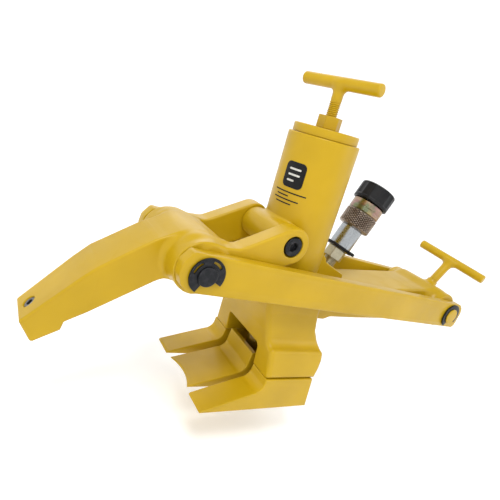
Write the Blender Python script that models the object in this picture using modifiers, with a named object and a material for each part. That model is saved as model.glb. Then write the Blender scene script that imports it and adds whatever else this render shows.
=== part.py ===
"""Hydraulic tyre bead breaker: a ram in a tilted barrel over a split claw, and a clamp arm worked by
two side links and a rear lever. Metres, +Z up, +X towards the rear handle, the claw's underside at Z = 0.
X is drawn from the middle of the claw, and the finished whole is moved to put the origin at mid-length."""

from math import atan2, cos, hypot, pi, radians, sin

import bmesh
import bpy
from mathutils import Matrix, Vector

MM = 0.001
GAP = 0.3 * MM
SEGMENTS = 20
MID_LENGTH_X = 46.6 * MM

# The ram's axis leans back from the claw. Heights along it start where it meets the underside plane.
TILT = radians(7.6)
AXIS_X = 30.7 * MM
BARREL_RADIUS = 36.5 * MM
BORE_RADIUS = 27.5 * MM
BARREL_BOTTOM = 128.3 * MM
BARREL_TOP = 284.6 * MM
CAP_RADIUS = 33.2 * MM
CAP_TOP = 293.4 * MM
CAP_PLUG = 14 * MM

# Pivots of the clamp, as (X, Z).
ARM_PIVOT = (-29.3 * MM, 177.1 * MM)
LINK_PIVOT = (-116.5 * MM, 140.8 * MM)
REAR_PIVOT = (276 * MM, 137.4 * MM)
LEVER_PIVOT = (82 * MM, 124 * MM)

# Clamp arm, yoke and links.
LINK_INNER = 48 * MM
LINK_OUTER = 60 * MM
LINK_HALF_HEIGHT = 17.6 * MM
YOKE_INNER = 28.3 * MM
YOKE_OUTER = 47 * MM
YOKE_END_RADIUS = 18.5 * MM
HUB_RADIUS = 24 * MM
ARM_OPENING = radians(-8.5)
ARM_HALF_WIDTH = 23.5 * MM
ARM_TIP_HALF_WIDTH = 18.5 * MM
PIN_RADIUS = 9 * MM
PIN_BUSH_RADIUS = 12 * MM
YOKE_BUSH_RADIUS = 9 * MM
PIN_END = 64 * MM
REAR_PIN_RADIUS = 10.6 * MM
REAR_HUB_RADIUS = 24.5 * MM
REAR_HUB_BORE = 12.2 * MM
TRUNNION_RADIUS = 15.8 * MM
TRUNNION_BOLT_RADIUS = 6 * MM
TRUNNION_BOLT_TIP = 13.5 * MM
BOLT_HEAD_RADIUS = 9.6 * MM
BOLT_HEAD_TOP = YOKE_OUTER + 0.4 * MM
LEVER_HALF_WIDTH = 30 * MM
LEVER_FORK_HALF_GAP = 14.6 * MM
LEVER_PIN_RADIUS = 6 * MM
LUG_HALF_WIDTH = 14 * MM

# Claw and housing.
CLAW_HALF_WIDTH = 62.5 * MM
SEAM_HEIGHT = 37.2 * MM
SLOT_HALF_WIDTH = 34 * MM
SLOT_BACK = 22.5 * MM
TONGUE_HALF_WIDTH = 25.5 * MM
CLAW_BOLTS = ((14 * MM, 48 * MM), (14 * MM, -48 * MM), (46 * MM, 48 * MM), (46 * MM, -48 * MM))
CLAW_BOLT_RADIUS = 5 * MM

# Ram.
ROD_RADIUS = 18 * MM
ROD_BOTTOM = 18 * MM
ROD_TOP = 232 * MM
PISTON_BOTTOM = 226 * MM
PISTON_TOP = 246 * MM
GLAND_BOTTOM = 108 * MM
GLAND_TOP = 138 * MM
SPRING_RADIUS = 23 * MM
SPRING_WIRE = 2.2 * MM
SPRING_COILS = 7

# Screw through the end cap, with its T-bar.
SCREW_RADIUS = 5.5 * MM
SCREW_BOTTOM = 262 * MM
SCREW_BAR_HEIGHT = 337.3 * MM
SCREW_BAR_HALF_LENGTH = 44.6 * MM
SCREW_BAR_RADIUS = 6 * MM
SCREW_BAR_TURN = radians(15)
NUT_FLATS = 21 * MM
NUT_TOP = 305.8 * MM

# Rear T-handle, radial to the rear pivot.
HANDLE_Y = -6 * MM
HANDLE_LEAN = radians(28.5)
HANDLE_HEIGHT = 74 * MM
HANDLE_BAR_HALF_LENGTH = 51 * MM
HANDLE_BAR_TURN = radians(13)
HANDLE_RADIUS = 6 * MM

# Hydraulic coupler, leaning away from the barrel on the rear lug.
COUPLER_BASE = (63 * MM, 148 * MM)
COUPLER_LEAN = radians(23.4)

YELLOW = (0.72, 0.42, 0.02)
BLACK = (0.015, 0.015, 0.018)
STEEL = (0.55, 0.56, 0.58)


def material(name, colour, metallic, roughness):
    made = bpy.data.materials.new(name)
    made.use_nodes = True
    shader = made.node_tree.nodes["Principled BSDF"]
    shader.inputs["Base Color"].default_value = (*colour, 1)
    shader.inputs["Metallic"].default_value = metallic
    shader.inputs["Roughness"].default_value = roughness
    return made


def clear_scene():
    for obj in list(bpy.data.objects):
        bpy.data.objects.remove(obj, do_unlink=True)


def collection(name, hidden=False):
    made = bpy.data.collections.new(name)
    bpy.context.scene.collection.children.link(made)
    made.hide_render = hidden
    return made


clear_scene()
PARTS = collection("bead_breaker")
CUTTERS = collection("cutters", hidden=True)


def empty(name, location, tilt=0.0, parent=None):
    """A frame whose rotation about Y leans its Z axis towards +X."""
    made = bpy.data.objects.new(name, None)
    PARTS.objects.link(made)
    made.location = location
    made.rotation_euler = (0, tilt, 0)
    made.parent = parent
    bpy.context.view_layer.update()
    return made


RAM_FRAME = empty("ram_frame", (AXIS_X, 0, 0), -TILT)
COUPLER_FRAME = empty("coupler_frame", (COUPLER_BASE[0], 0, COUPLER_BASE[1]), COUPLER_LEAN, RAM_FRAME)
HANDLE_FRAME = empty("handle_frame", (REAR_PIVOT[0], HANDLE_Y, REAR_PIVOT[1]), HANDLE_LEAN)


def along_ram(point):
    """World (X, Z) of a point given as (offset from the ram's axis, height along it)."""
    x, height = point
    return (AXIS_X + x * cos(TILT) - height * sin(TILT), x * sin(TILT) + height * cos(TILT))


def mesh_object(name, mesh, frame=None, location=(0, 0, 0)):
    """An object in the parts collection. Its mesh is given in its frame."""
    made = bpy.data.objects.new(name, mesh)
    PARTS.objects.link(made)
    made.location = location
    made.parent = frame
    bpy.context.view_layer.update()
    return made


def finish_round(obj, mat):
    obj.data.materials.clear()
    obj.data.materials.append(mat)
    obj.data.shade_smooth()
    obj.data.set_sharp_from_angle(angle=radians(35))
    return obj


def cylinder_mesh(radius, low, high, top_radius=None, sides=SEGMENTS, axis="Z"):
    """A cylinder or cone along the axis from low to high."""
    bm = bmesh.new()
    bmesh.ops.create_cone(bm, cap_ends=True, segments=sides, radius1=radius,
                          radius2=radius if top_radius is None else top_radius, depth=high - low)
    bmesh.ops.translate(bm, verts=bm.verts, vec=(0, 0, (low + high) / 2))
    if axis == "Y":
        bmesh.ops.rotate(bm, verts=bm.verts, matrix=Matrix.Rotation(-pi / 2, 3, "X"))
    mesh = bpy.data.meshes.new("cylinder")
    bm.to_mesh(mesh)
    bm.free()
    return mesh


def ram_cylinder(name, radius, low, high, sides=SEGMENTS):
    """A cylinder on the ram's axis, from low to high along it."""
    return mesh_object(name, cylinder_mesh(radius, low, high, sides=sides), RAM_FRAME)


def cross_cylinder(name, radius, low, high, centre, sides=SEGMENTS):
    """A cylinder along Y from low to high, on the axis through centre = (X, Z)."""
    mesh = cylinder_mesh(radius, low, high, sides=sides, axis="Y")
    mesh.transform(Matrix.Translation((centre[0], 0, centre[1])))
    return mesh_object(name, mesh)


def box(name, low, high, frame=None):
    bm = bmesh.new()
    bmesh.ops.create_cube(bm, size=1)
    size = [b - a for a, b in zip(low, high)]
    bmesh.ops.scale(bm, verts=bm.verts, vec=size)
    bmesh.ops.translate(bm, verts=bm.verts, vec=[(a + b) / 2 for a, b in zip(low, high)])
    mesh = bpy.data.meshes.new(name)
    bm.to_mesh(mesh)
    bm.free()
    return mesh_object(name, mesh, frame)


def turned(name, profile, frame=None, sides=SEGMENTS, closed=False):
    """A turned piece: profile points (radius, height) run down the outer side."""
    mesh = bpy.data.meshes.new(name)
    count = len(profile)
    edges = [(i, i + 1) for i in range(count - 1)] + ([(count - 1, 0)] if closed else [])
    mesh.from_pydata([(r, 0, z) for r, z in profile], edges, [])
    made = mesh_object(name, mesh, frame)
    screw = made.modifiers.new("turn", "SCREW")
    screw.steps = screw.render_steps = sides
    screw.use_merge_vertices = True
    screw.merge_threshold = 0.00001
    return made


def baked(obj):
    """The object with its modifiers and curve data turned into a plain welded mesh, in place."""
    graph = bpy.context.evaluated_depsgraph_get()
    mesh = bpy.data.meshes.new_from_object(obj.evaluated_get(graph))
    bm = bmesh.new()
    bm.from_mesh(mesh)
    bmesh.ops.remove_doubles(bm, verts=bm.verts, dist=0.000001)
    bmesh.ops.recalc_face_normals(bm, faces=bm.faces)
    bm.to_mesh(mesh)
    bm.free()
    name, matrix = obj.name, obj.matrix_world.copy()
    bpy.data.objects.remove(obj)
    made = bpy.data.objects.new(name, mesh)
    PARTS.objects.link(made)
    made.matrix_world = matrix
    bpy.context.view_layer.update()
    return made


def plate(name, outline, low, high):
    """A flat outline of (X, Z) points, extruded along Y from low to high."""
    curve = bpy.data.curves.new(name, "CURVE")
    curve.dimensions = "2D"
    curve.fill_mode = "BOTH"
    curve.extrude = (high - low) / 2
    spline = curve.splines.new("POLY")
    spline.points.add(len(outline) - 1)
    for point, (x, z) in zip(spline.points, outline):
        point.co = (x, z, 0, 1)
    spline.use_cyclic_u = True
    made = bpy.data.objects.new(name, curve)
    PARTS.objects.link(made)
    made.rotation_euler = (pi / 2, 0, 0)
    made.location = (0, (low + high) / 2, 0)
    bpy.context.view_layer.update()
    return baked(made)


def arc(centre, radius, start, end, steps):
    """Points from angle start to end, in degrees from +X towards +Z."""
    angles = [radians(start + (end - start) * i / steps) for i in range(steps + 1)]
    return [(centre[0] + radius * cos(a), centre[1] + radius * sin(a)) for a in angles]


def as_cutter(obj):
    for owner in list(obj.users_collection):
        owner.objects.unlink(obj)
    CUTTERS.objects.link(obj)
    obj.hide_render = True
    obj.display_type = "WIRE"
    return obj


def combine(obj, other, operation):
    """One Boolean applied at once, and the other object removed."""
    modifier = obj.modifiers.new(operation.lower(), "BOOLEAN")
    modifier.operation = operation
    modifier.object = other
    bpy.context.view_layer.update()
    frame, origin = obj.parent, obj.matrix_world.copy()
    graph = bpy.context.evaluated_depsgraph_get()
    mesh = bpy.data.meshes.new_from_object(obj.evaluated_get(graph))
    obj.modifiers.clear()
    obj.data = mesh
    obj.parent = frame
    obj.matrix_world = origin
    bpy.data.objects.remove(other)
    bpy.context.view_layer.update()
    return obj


def cut(obj, *cutters):
    for cutter in cutters:
        combine(obj, as_cutter(cutter), "DIFFERENCE")
    return obj


def join(obj, *others):
    for other in others:
        combine(obj, other, "UNION")
    return obj


def set_origin(obj, point):
    """Moves the object's origin to the world point and leaves its shape where it is."""
    mesh = obj.data
    mesh.transform(obj.matrix_world)
    obj.parent = None
    mesh.transform(Matrix.Translation(-Vector(point)))
    obj.matrix_world = Matrix.Translation(point)
    bpy.context.view_layer.update()
    return obj


def cross_point(pivot):
    return (pivot[0], 0, pivot[1])


def cylinder_barrel(paint):
    """Pressure tube with its welded cross tube's bolt holes, open at both ends."""
    barrel = turned("cylinder_barrel", [
        (BORE_RADIUS, BARREL_TOP), (BARREL_RADIUS - 1.5 * MM, BARREL_TOP),
        (BARREL_RADIUS, BARREL_TOP - 1.5 * MM),
        (BARREL_RADIUS, BARREL_BOTTOM), (BORE_RADIUS, BARREL_BOTTOM)], RAM_FRAME, SEGMENTS, closed=True)
    barrel = baked(barrel)
    for side in (-1, 1):
        low, high = sorted((side * (TRUNNION_BOLT_TIP - 1 * MM), side * 40 * MM))
        cut(barrel, cross_cylinder("bolt_room", TRUNNION_BOLT_RADIUS + GAP, low, high, ARM_PIVOT))
    x, z = along_ram((BARREL_RADIUS, 148 * MM))
    port = cylinder_mesh(3 * MM, -14 * MM, 14 * MM, sides=12)
    port.transform(Matrix.Translation((x, 0, z)) @ Matrix.Rotation(pi / 2 - TILT, 4, "Y"))
    cut(barrel, mesh_object("oil_port", port))
    return finish_round(barrel, paint)


def trunnion_tube(paint):
    """Cross tube on the barrel's front that carries the yoke, scarfed to the barrel's curve."""
    tube = cross_cylinder("trunnion_tube", TRUNNION_RADIUS, -YOKE_INNER + GAP, YOKE_INNER - GAP, ARM_PIVOT)
    barrel = ram_cylinder("barrel_room", BARREL_RADIUS + GAP, 100 * MM, 260 * MM, 64)
    cut(tube, barrel)
    for side in (-1, 1):
        low, high = sorted((side * (TRUNNION_BOLT_TIP - 1 * MM), side * 40 * MM))
        cut(tube, cross_cylinder("bolt_room", TRUNNION_BOLT_RADIUS + GAP, low, high, ARM_PIVOT))
    return finish_round(tube, paint)


def barrel_end_cap(paint):
    """Cap with a plug inside the bore and a hole for the hex bushing."""
    plug = BORE_RADIUS - GAP
    hole = 8.4 * MM
    cap = turned("barrel_end_cap", [
        (hole, CAP_TOP), (CAP_RADIUS - 1.2 * MM, CAP_TOP), (CAP_RADIUS, CAP_TOP - 1.2 * MM),
        (CAP_RADIUS, BARREL_TOP + 1.2 * MM), (plug, BARREL_TOP + 1.2 * MM), (plug, BARREL_TOP - CAP_PLUG),
        (hole, BARREL_TOP - CAP_PLUG)], RAM_FRAME, SEGMENTS, closed=True)
    return finish_round(baked(cap), paint)


def hex_bushing(paint):
    """Threaded bushing: a hexagon on the cap and a sleeve down through it."""
    hexagon = mesh_object("hex_bushing", cylinder_mesh(
        NUT_FLATS / 2 / cos(pi / 6), CAP_TOP + GAP, NUT_TOP, sides=6), RAM_FRAME)
    sleeve = ram_cylinder("sleeve", 8 * MM, BARREL_TOP - CAP_PLUG + 1 * MM, CAP_TOP + 2 * MM)
    join(hexagon, sleeve)
    cut(hexagon, ram_cylinder("hole", 
        SCREW_RADIUS + GAP, BARREL_TOP - 30 * MM, NUT_TOP + 10 * MM))
    return finish_round(hexagon, paint)


def clamp_screw(paint):
    """Screw spindle through the bushing, its collar shaded into the T-bar."""
    spindle = turned("clamp_screw", [
        (0, SCREW_BAR_HEIGHT - SCREW_BAR_RADIUS - GAP),
        (SCREW_RADIUS + 2 * MM, SCREW_BAR_HEIGHT - SCREW_BAR_RADIUS - GAP),
        (SCREW_RADIUS, SCREW_BAR_HEIGHT - SCREW_BAR_RADIUS - 5 * MM),
        (SCREW_RADIUS, SCREW_BOTTOM), (SCREW_RADIUS - 1 * MM, SCREW_BOTTOM - 1 * MM),
        (0, SCREW_BOTTOM - 1 * MM)], RAM_FRAME, SEGMENTS)
    finish_round(baked(spindle), paint)
    bar = cylinder_mesh(SCREW_BAR_RADIUS, -SCREW_BAR_HALF_LENGTH, SCREW_BAR_HALF_LENGTH, sides=20, axis="Y")
    bar.transform(Matrix.Translation((0, 0, SCREW_BAR_HEIGHT)) @ Matrix.Rotation(SCREW_BAR_TURN, 4, "Z"))
    finish_round(mesh_object("clamp_screw_bar", bar, RAM_FRAME), paint)


def swivel_pad(steel):
    """Cup that the screw's end turns in, above the piston."""
    pad = turned("swivel_pad", [
        (SCREW_RADIUS + GAP, SCREW_BOTTOM + 5 * MM), (12 * MM, SCREW_BOTTOM + 5 * MM),
        (13 * MM, SCREW_BOTTOM - 6 * MM), (0, SCREW_BOTTOM - 6 * MM)], RAM_FRAME, SEGMENTS)
    pad = baked(closed_cup(pad, SCREW_RADIUS + GAP, SCREW_BOTTOM - 1.4 * MM))
    return finish_round(pad, steel)


def closed_cup(obj, radius, floor):
    """Adds the cup's inside to a turned profile: down its wall to the floor, and in to the axis."""
    mesh = obj.data
    points = [v.co.copy() for v in mesh.vertices]
    points = [Vector((0, 0, floor)), Vector((radius, 0, floor))] + points
    mesh.clear_geometry()
    mesh.from_pydata(points, [(i, i + 1) for i in range(len(points) - 1)], [])
    return obj


def ram(chrome, steel, rubber, bronze):
    """Piston with its seal and wear ring, the rod, and the screw that holds them."""
    ring_top, ring_bottom, ring_radius = PISTON_TOP - 4 * MM, PISTON_TOP - 9 * MM, 24 * MM
    wear_top, wear_bottom, wear_radius = PISTON_BOTTOM + 8 * MM, PISTON_BOTTOM + 3 * MM, 25.4 * MM
    outer = BORE_RADIUS - 0.4 * MM
    piston = turned("piston", [
        (8.5 * MM, PISTON_TOP), (outer, PISTON_TOP), (outer, ring_top), (ring_radius, ring_top),
        (ring_radius, ring_bottom), (outer, ring_bottom), (outer, wear_top), (wear_radius, wear_top),
        (wear_radius, wear_bottom), (outer, wear_bottom), (outer, PISTON_BOTTOM), (10 * MM, PISTON_BOTTOM),
        (10 * MM, ROD_TOP + GAP), (8.5 * MM, ROD_TOP + GAP)], RAM_FRAME, SEGMENTS, closed=True)
    finish_round(baked(piston), steel)
    for name, radius, high, low, mat in (("piston_seal", ring_radius, ring_top, ring_bottom, rubber),
                                         ("piston_wear_ring", wear_radius, wear_top, wear_bottom, bronze)):
        ring = turned(name, [(radius + GAP, high - GAP), (BORE_RADIUS - 0.2 * MM, high - GAP),
                             (BORE_RADIUS - 0.2 * MM, low + GAP), (radius + GAP, low + GAP)],
                            RAM_FRAME, SEGMENTS, closed=True)
        finish_round(baked(ring), mat)
    rod = turned("ram_rod", [
        (0, ROD_TOP), (9.6 * MM, ROD_TOP), (9.6 * MM, PISTON_BOTTOM - GAP), (ROD_RADIUS, PISTON_BOTTOM - GAP),
        (ROD_RADIUS, ROD_BOTTOM + 8 * MM), (14 * MM, ROD_BOTTOM + 8 * MM), (14 * MM, ROD_BOTTOM),
        (CLAW_BOLT_RADIUS + GAP, ROD_BOTTOM), (CLAW_BOLT_RADIUS + GAP, 45 * MM), (0, 45 * MM)],
        RAM_FRAME, SEGMENTS)
    finish_round(baked(rod), chrome)


def rod_gland(bronze, rubber):
    """Guide bush for the rod in the foot of the barrel, with a wiper under it."""
    inner = ROD_RADIUS + 0.3 * MM
    gland = turned("rod_gland", [
        (inner, GLAND_TOP), (BORE_RADIUS - GAP, GLAND_TOP), (BORE_RADIUS - GAP, GLAND_BOTTOM + 6 * MM),
        (24 * MM, GLAND_BOTTOM + 6 * MM), (24 * MM, GLAND_BOTTOM), (inner, GLAND_BOTTOM)],
        RAM_FRAME, SEGMENTS, closed=True)
    finish_round(baked(gland), bronze)
    wiper = turned("rod_wiper", [
        (inner, GLAND_BOTTOM - GAP), (24 * MM, GLAND_BOTTOM - GAP), (24 * MM, GLAND_BOTTOM - 5 * MM),
        (20 * MM, GLAND_BOTTOM - 6 * MM), (inner, GLAND_BOTTOM - 3 * MM)], RAM_FRAME, SEGMENTS, closed=True)
    finish_round(baked(wiper), rubber)


def return_spring(steel):
    """Coil round the rod between the gland and the piston."""
    low = GLAND_TOP + SPRING_WIRE + 2 * GAP
    high = PISTON_BOTTOM - SPRING_WIRE - 2 * GAP
    steps = 12
    curve = bpy.data.curves.new("return_spring", "CURVE")
    curve.dimensions = "3D"
    curve.bevel_depth = SPRING_WIRE
    curve.bevel_resolution = 1
    curve.use_fill_caps = True
    spline = curve.splines.new("POLY")
    count = SPRING_COILS * steps
    spline.points.add(count)
    for i, point in enumerate(spline.points):
        angle = 2 * pi * i / steps
        point.co = (SPRING_RADIUS * cos(angle), SPRING_RADIUS * sin(angle), low + (high - low) * i / count, 1)
    spring = bpy.data.objects.new("return_spring", curve)
    PARTS.objects.link(spring)
    spring.parent = RAM_FRAME
    bpy.context.view_layer.update()
    spring = baked(spring)
    return finish_round(spring, steel)


def wedge_outline(lift):
    """Side outline of a prong's top, from the thin tip back to the upright face, lifted off the ground."""
    return [(-70.6 * MM, lift), (-68.5 * MM, 2.4 * MM), (-38 * MM, 12.6 * MM), (-14.5 * MM, 20.2 * MM)] + arc(
        (-15.5 * MM, 31.6 * MM), 11.4 * MM, -80, -10, 5)


def claw_block(paint):
    """Split claw: two prongs joined by a back wall, with an open slot for the push foot between them."""
    outline = wedge_outline(0) + [(-4.2 * MM, SEAM_HEIGHT), (62.7 * MM, SEAM_HEIGHT), (71.2 * MM, 0)]
    claw = plate("claw_block", outline, -CLAW_HALF_WIDTH, CLAW_HALF_WIDTH)
    slot_low, slot_high = (-120 * MM, -SLOT_HALF_WIDTH, -30 * MM), (SLOT_BACK, SLOT_HALF_WIDTH, 60 * MM)
    cut(claw, box("slot", slot_low, slot_high, RAM_FRAME))
    for x, y in CLAW_BOLTS:
        hole = cylinder_mesh(CLAW_BOLT_RADIUS + GAP, -5 * MM, 50 * MM, sides=12)
        hole.transform(Matrix.Translation((x, y, 0)))
        cut(claw, mesh_object("bolt_hole", hole))
        recess = cylinder_mesh(8.6 * MM, -5 * MM, 10.5 * MM, sides=12)
        recess.transform(Matrix.Translation((x, y, 0)))
        cut(claw, mesh_object("bolt_recess", recess))
    return finish_round(claw, paint)


def claw_bolts(black):
    for number, (x, y) in enumerate(CLAW_BOLTS, 1):
        bolt = turned(f"claw_bolt_{number}", [
            (0, 58 * MM), (CLAW_BOLT_RADIUS, 58 * MM), (CLAW_BOLT_RADIUS, 10.2 * MM), (8 * MM, 10.2 * MM),
            (8 * MM, 0.8 * MM), (7.4 * MM, 0.2 * MM), (4.4 * MM, 0.2 * MM), (4.4 * MM, 5 * MM),
            (0, 5 * MM)], None, 12)
        bolt = baked(bolt)
        bolt.data.transform(Matrix.Translation((x, y, 0)))
        finish_round(set_origin(bolt, (x, y, 0)), black)


def foot_housing(paint):
    """Casting from barrel to claw: square neck, concave shoulder and wide foot, with the rod's way inside."""
    side = [(-4.2 * MM, SEAM_HEIGHT + GAP), (-10.5 * MM, 70 * MM), (-13.5 * MM, 82 * MM),
            (-21 * MM, 104 * MM), along_ram((-38.2 * MM, BARREL_BOTTOM - GAP)),
            along_ram((36.8 * MM, BARREL_BOTTOM - GAP)), along_ram((36.8 * MM, 84 * MM)),
            (66 * MM, 71.5 * MM), (68.6 * MM, 60 * MM), (68.2 * MM, 50 * MM), (65.2 * MM, SEAM_HEIGHT + GAP)]
    housing = plate("foot_housing", side, -80 * MM, 80 * MM)
    half = [(CLAW_HALF_WIDTH, SEAM_HEIGHT - 5 * MM), (CLAW_HALF_WIDTH, SEAM_HEIGHT + 2 * MM)]
    half += [(57.5 * MM, 69 * MM)]
    half += arc((57.5 * MM, 81 * MM), 11 * MM, -100, -178, 5)
    half += [(40.8 * MM, 106 * MM), (38.6 * MM, 140 * MM)]
    front = plate("front", half + [(-y, z) for y, z in reversed(half)], -90 * MM, 130 * MM)
    front.matrix_world = Matrix.Rotation(pi / 2, 4, "Z") @ front.matrix_world
    bpy.context.view_layer.update()
    combine(housing, front, "INTERSECT")
    half_slot = SLOT_HALF_WIDTH - 1 * MM
    cut(housing, box("slot", (-120 * MM, -half_slot, 0), (SLOT_BACK, half_slot, 67 * MM), RAM_FRAME),
        ram_cylinder("rod_way", ROD_RADIUS + 1.2 * MM, 40 * MM, 150 * MM),
        ram_cylinder("gland_seat", 24 * MM + GAP, GLAND_BOTTOM - 8 * MM, 150 * MM),
        ram_cylinder("gland_flange_seat", BORE_RADIUS, GLAND_BOTTOM + 6 * MM - GAP, 150 * MM))
    for x, y in CLAW_BOLTS:
        hole = cylinder_mesh(CLAW_BOLT_RADIUS + GAP, 20 * MM, 60 * MM, sides=12)
        hole.transform(Matrix.Translation((x, y, 0)))
        cut(housing, mesh_object("bolt_hole", hole))
    return finish_round(housing, paint)


def push_foot(paint, black):
    """Foot under the rod: a wedge tongue with a hollowed edge, an upright plate and a block for the rod."""
    lift = 0.6 * MM
    top = [(-69.5 * MM, lift), (-68 * MM, 1.6 * MM), (-38 * MM, 10.4 * MM), (-13.5 * MM, 17.8 * MM)]
    top += arc((-14.5 * MM, 29.2 * MM), 11.4 * MM, -80, -10, 5)
    back_top = along_ram((SLOT_BACK - 2.5 * MM, 30 * MM))
    back_foot = along_ram((SLOT_BACK - 2.5 * MM, 4 * MM))
    outline = top + [(-3.2 * MM, 44 * MM), (3 * MM, 44 * MM), (5.6 * MM, 30.6 * MM), (back_top[0], 30.2 * MM),
                     (back_foot[0], lift)]
    foot = plate("push_foot", outline, -TONGUE_HALF_WIDTH, TONGUE_HALF_WIDTH)
    chord, depth = TONGUE_HALF_WIDTH + 1 * MM, 7 * MM
    radius = (chord ** 2 + depth ** 2) / (2 * depth)
    bite = cylinder_mesh(radius, -10 * MM, 40 * MM, sides=64)
    bite.transform(Matrix.Translation((-69.5 * MM + depth - radius, 0, 0)))
    cut(foot, mesh_object("bite", bite))
    cut(foot, ram_cylinder("spigot_seat", 14 * MM + GAP, ROD_BOTTOM - GAP, 60 * MM))
    cut(foot, ram_cylinder("rod_seat", ROD_RADIUS + GAP, ROD_BOTTOM + 8 * MM - GAP, 60 * MM))
    cut(foot, ram_cylinder("bolt_hole", CLAW_BOLT_RADIUS + GAP, -20 * MM, 60 * MM, 12))
    cut(foot, ram_cylinder("bolt_recess", 8.6 * MM, -20 * MM, 13 * MM, 12))
    finish_round(foot, paint)
    bolt = turned("push_foot_bolt", [
        (0, 42 * MM), (CLAW_BOLT_RADIUS, 42 * MM), (CLAW_BOLT_RADIUS, 12.7 * MM), (8 * MM, 12.7 * MM),
        (8 * MM, 4 * MM), (4.4 * MM, 4 * MM), (4.4 * MM, 8 * MM), (0, 8 * MM)], RAM_FRAME, 12)
    finish_round(baked(bolt), black)


def arm_outline():
    """Side outline of the clamp arm from its hub down to the tip's gripping pad."""
    top = [(-118 * MM, 164 * MM), (-136 * MM, 160.5 * MM), (-150 * MM, 151.5 * MM)]
    bend = [(-188 * MM, 120.5 * MM), (-194.5 * MM, 114.5 * MM), (-200 * MM, 107.5 * MM)]
    tip = [(-234 * MM, 62 * MM), (-222.5 * MM, 45 * MM), (-203.4 * MM, 58.6 * MM), (-202.6 * MM, 65.6 * MM)]
    return top + bend + tip + [(-134.4 * MM, 117 * MM), (-116 * MM, 118 * MM)]


def narrow_towards_tip(obj):
    """Draws the arm's sides in from the bend to the tip."""
    bend_x, tip_x = -190 * MM, -234 * MM
    for vertex in obj.data.vertices:
        share = min(max((bend_x - vertex.co.x) / (bend_x - tip_x), 0), 1)
        vertex.co.z *= 1 - share * (1 - ARM_TIP_HALF_WIDTH / ARM_HALF_WIDTH)


def yoke_outline():
    """Side outline of one yoke cheek, from inside the hub up to its round end at the arm's pivot."""
    x, z = LINK_PIVOT
    return [(x, z - 20 * MM), (x, z + 20.5 * MM), (-101 * MM, 161.5 * MM), (-92 * MM, 161.6 * MM),
            (-85 * MM, 164.2 * MM)] + arc(ARM_PIVOT, YOKE_END_RADIUS, 117, -72, 14) + [(-92 * MM, 127 * MM)]


def clamp_arm(paint):
    """Arm, hub and yoke in one casting, bored for the link pin and for the trunnion bolts."""
    arm = plate("clamp_arm", arm_outline(), -ARM_HALF_WIDTH, ARM_HALF_WIDTH)
    narrow_towards_tip(arm)
    join(arm, cross_cylinder("hub", HUB_RADIUS, -YOKE_OUTER, YOKE_OUTER, LINK_PIVOT, SEGMENTS))
    for side in (-1, 1):
        low, high = sorted((side * YOKE_INNER, side * YOKE_OUTER))
        join(arm, plate("cheek", yoke_outline(), low, high))
    x, z = LINK_PIVOT
    bridge = [(x - 12 * MM, z - 18 * MM), (x - 12 * MM, 162 * MM), (-93 * MM, 162 * MM), (-91 * MM, 159 * MM),
              (-91 * MM, z - 8 * MM), (-98 * MM, z - 18 * MM)]
    join(arm, plate("bridge", bridge, -YOKE_INNER - 1 * MM, YOKE_INNER + 1 * MM))
    cut(arm, cross_cylinder("pin_bore", PIN_BUSH_RADIUS + GAP, -60 * MM, 60 * MM, LINK_PIVOT),
        cross_cylinder("bolt_bore", YOKE_BUSH_RADIUS + GAP, -60 * MM, 60 * MM, ARM_PIVOT))
    for side in (-1, 1):
        low, high = sorted((side * 40.6 * MM, side * 60 * MM))
        cut(arm, cross_cylinder("head_recess", BOLT_HEAD_RADIUS + 1.2 * MM, low, high, ARM_PIVOT))
    cut(arm, set_screw_mesh("screw_hole", 5.3 * MM, -20 * MM, 50 * MM))
    for swing in (0, ARM_OPENING / 2, ARM_OPENING):
        room = ram_cylinder("barrel_room", BARREL_RADIUS + 1 * MM, 100 * MM, 260 * MM, 48)
        set_origin(room, cross_point(ARM_PIVOT))
        room.rotation_euler = (0, swing, 0)
        bpy.context.view_layer.update()
        cut(arm, room)
    return finish_round(set_origin(arm, cross_point(ARM_PIVOT)), paint)


SET_SCREW_TOP = (-227.8 * MM, 70.2 * MM)
SET_SCREW_DIRECTION = (0.797, -0.603)


def set_screw_mesh(name, radius, low, high):
    """A cylinder square to the arm tip's top face, from low to high along the way in."""
    mesh = cylinder_mesh(radius, low, high, sides=20)
    lean = atan2(SET_SCREW_DIRECTION[0], SET_SCREW_DIRECTION[1])
    x, z = SET_SCREW_TOP
    mesh.transform(Matrix.Translation((x, 0, z)) @ Matrix.Rotation(lean, 4, "Y"))
    return mesh_object(name, mesh)


def arm_set_screw(black):
    """Grip screw through the arm's tip, with a hexagon socket in its upper end."""
    screw = set_screw_mesh("arm_set_screw", 5 * MM, 1.5 * MM, 27 * MM)
    socket = cylinder_mesh(2.9 * MM, -10 * MM, 7 * MM, sides=6)
    lean = atan2(SET_SCREW_DIRECTION[0], SET_SCREW_DIRECTION[1])
    x, z = SET_SCREW_TOP
    socket.transform(Matrix.Translation((x, 0, z)) @ Matrix.Rotation(lean, 4, "Y"))
    cut(screw, mesh_object("socket", socket))
    return finish_round(set_origin(screw, (x, 0, z)), black)


def cross_turned(name, profile, pivot, mat, sides=SEGMENTS, closed=False):
    """A turned piece on the axis along Y through pivot. Its profile is (radius, y), from +Y down to -Y."""
    made = baked(turned(name, profile, None, sides, closed))
    made.data.transform(Matrix.Translation(cross_point(pivot)) @ Matrix.Rotation(-pi / 2, 4, "X"))
    return finish_round(set_origin(made, cross_point(pivot)), mat)


def grooved_pin(name, radius, groove, pivot, mat):
    """A plain pin with a ring groove outside each link."""
    half = [(groove, 62.5 * MM), (groove, 60.3 * MM)]
    end = [(0, PIN_END), (radius - 1 * MM, PIN_END), (radius, PIN_END - 1 * MM), (radius, 62.5 * MM)]
    profile = end + half + [(radius, 60.3 * MM)]
    profile += [(r, -y) for r, y in reversed(profile)]
    cross_turned(name, profile, pivot, mat, SEGMENTS)


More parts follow.
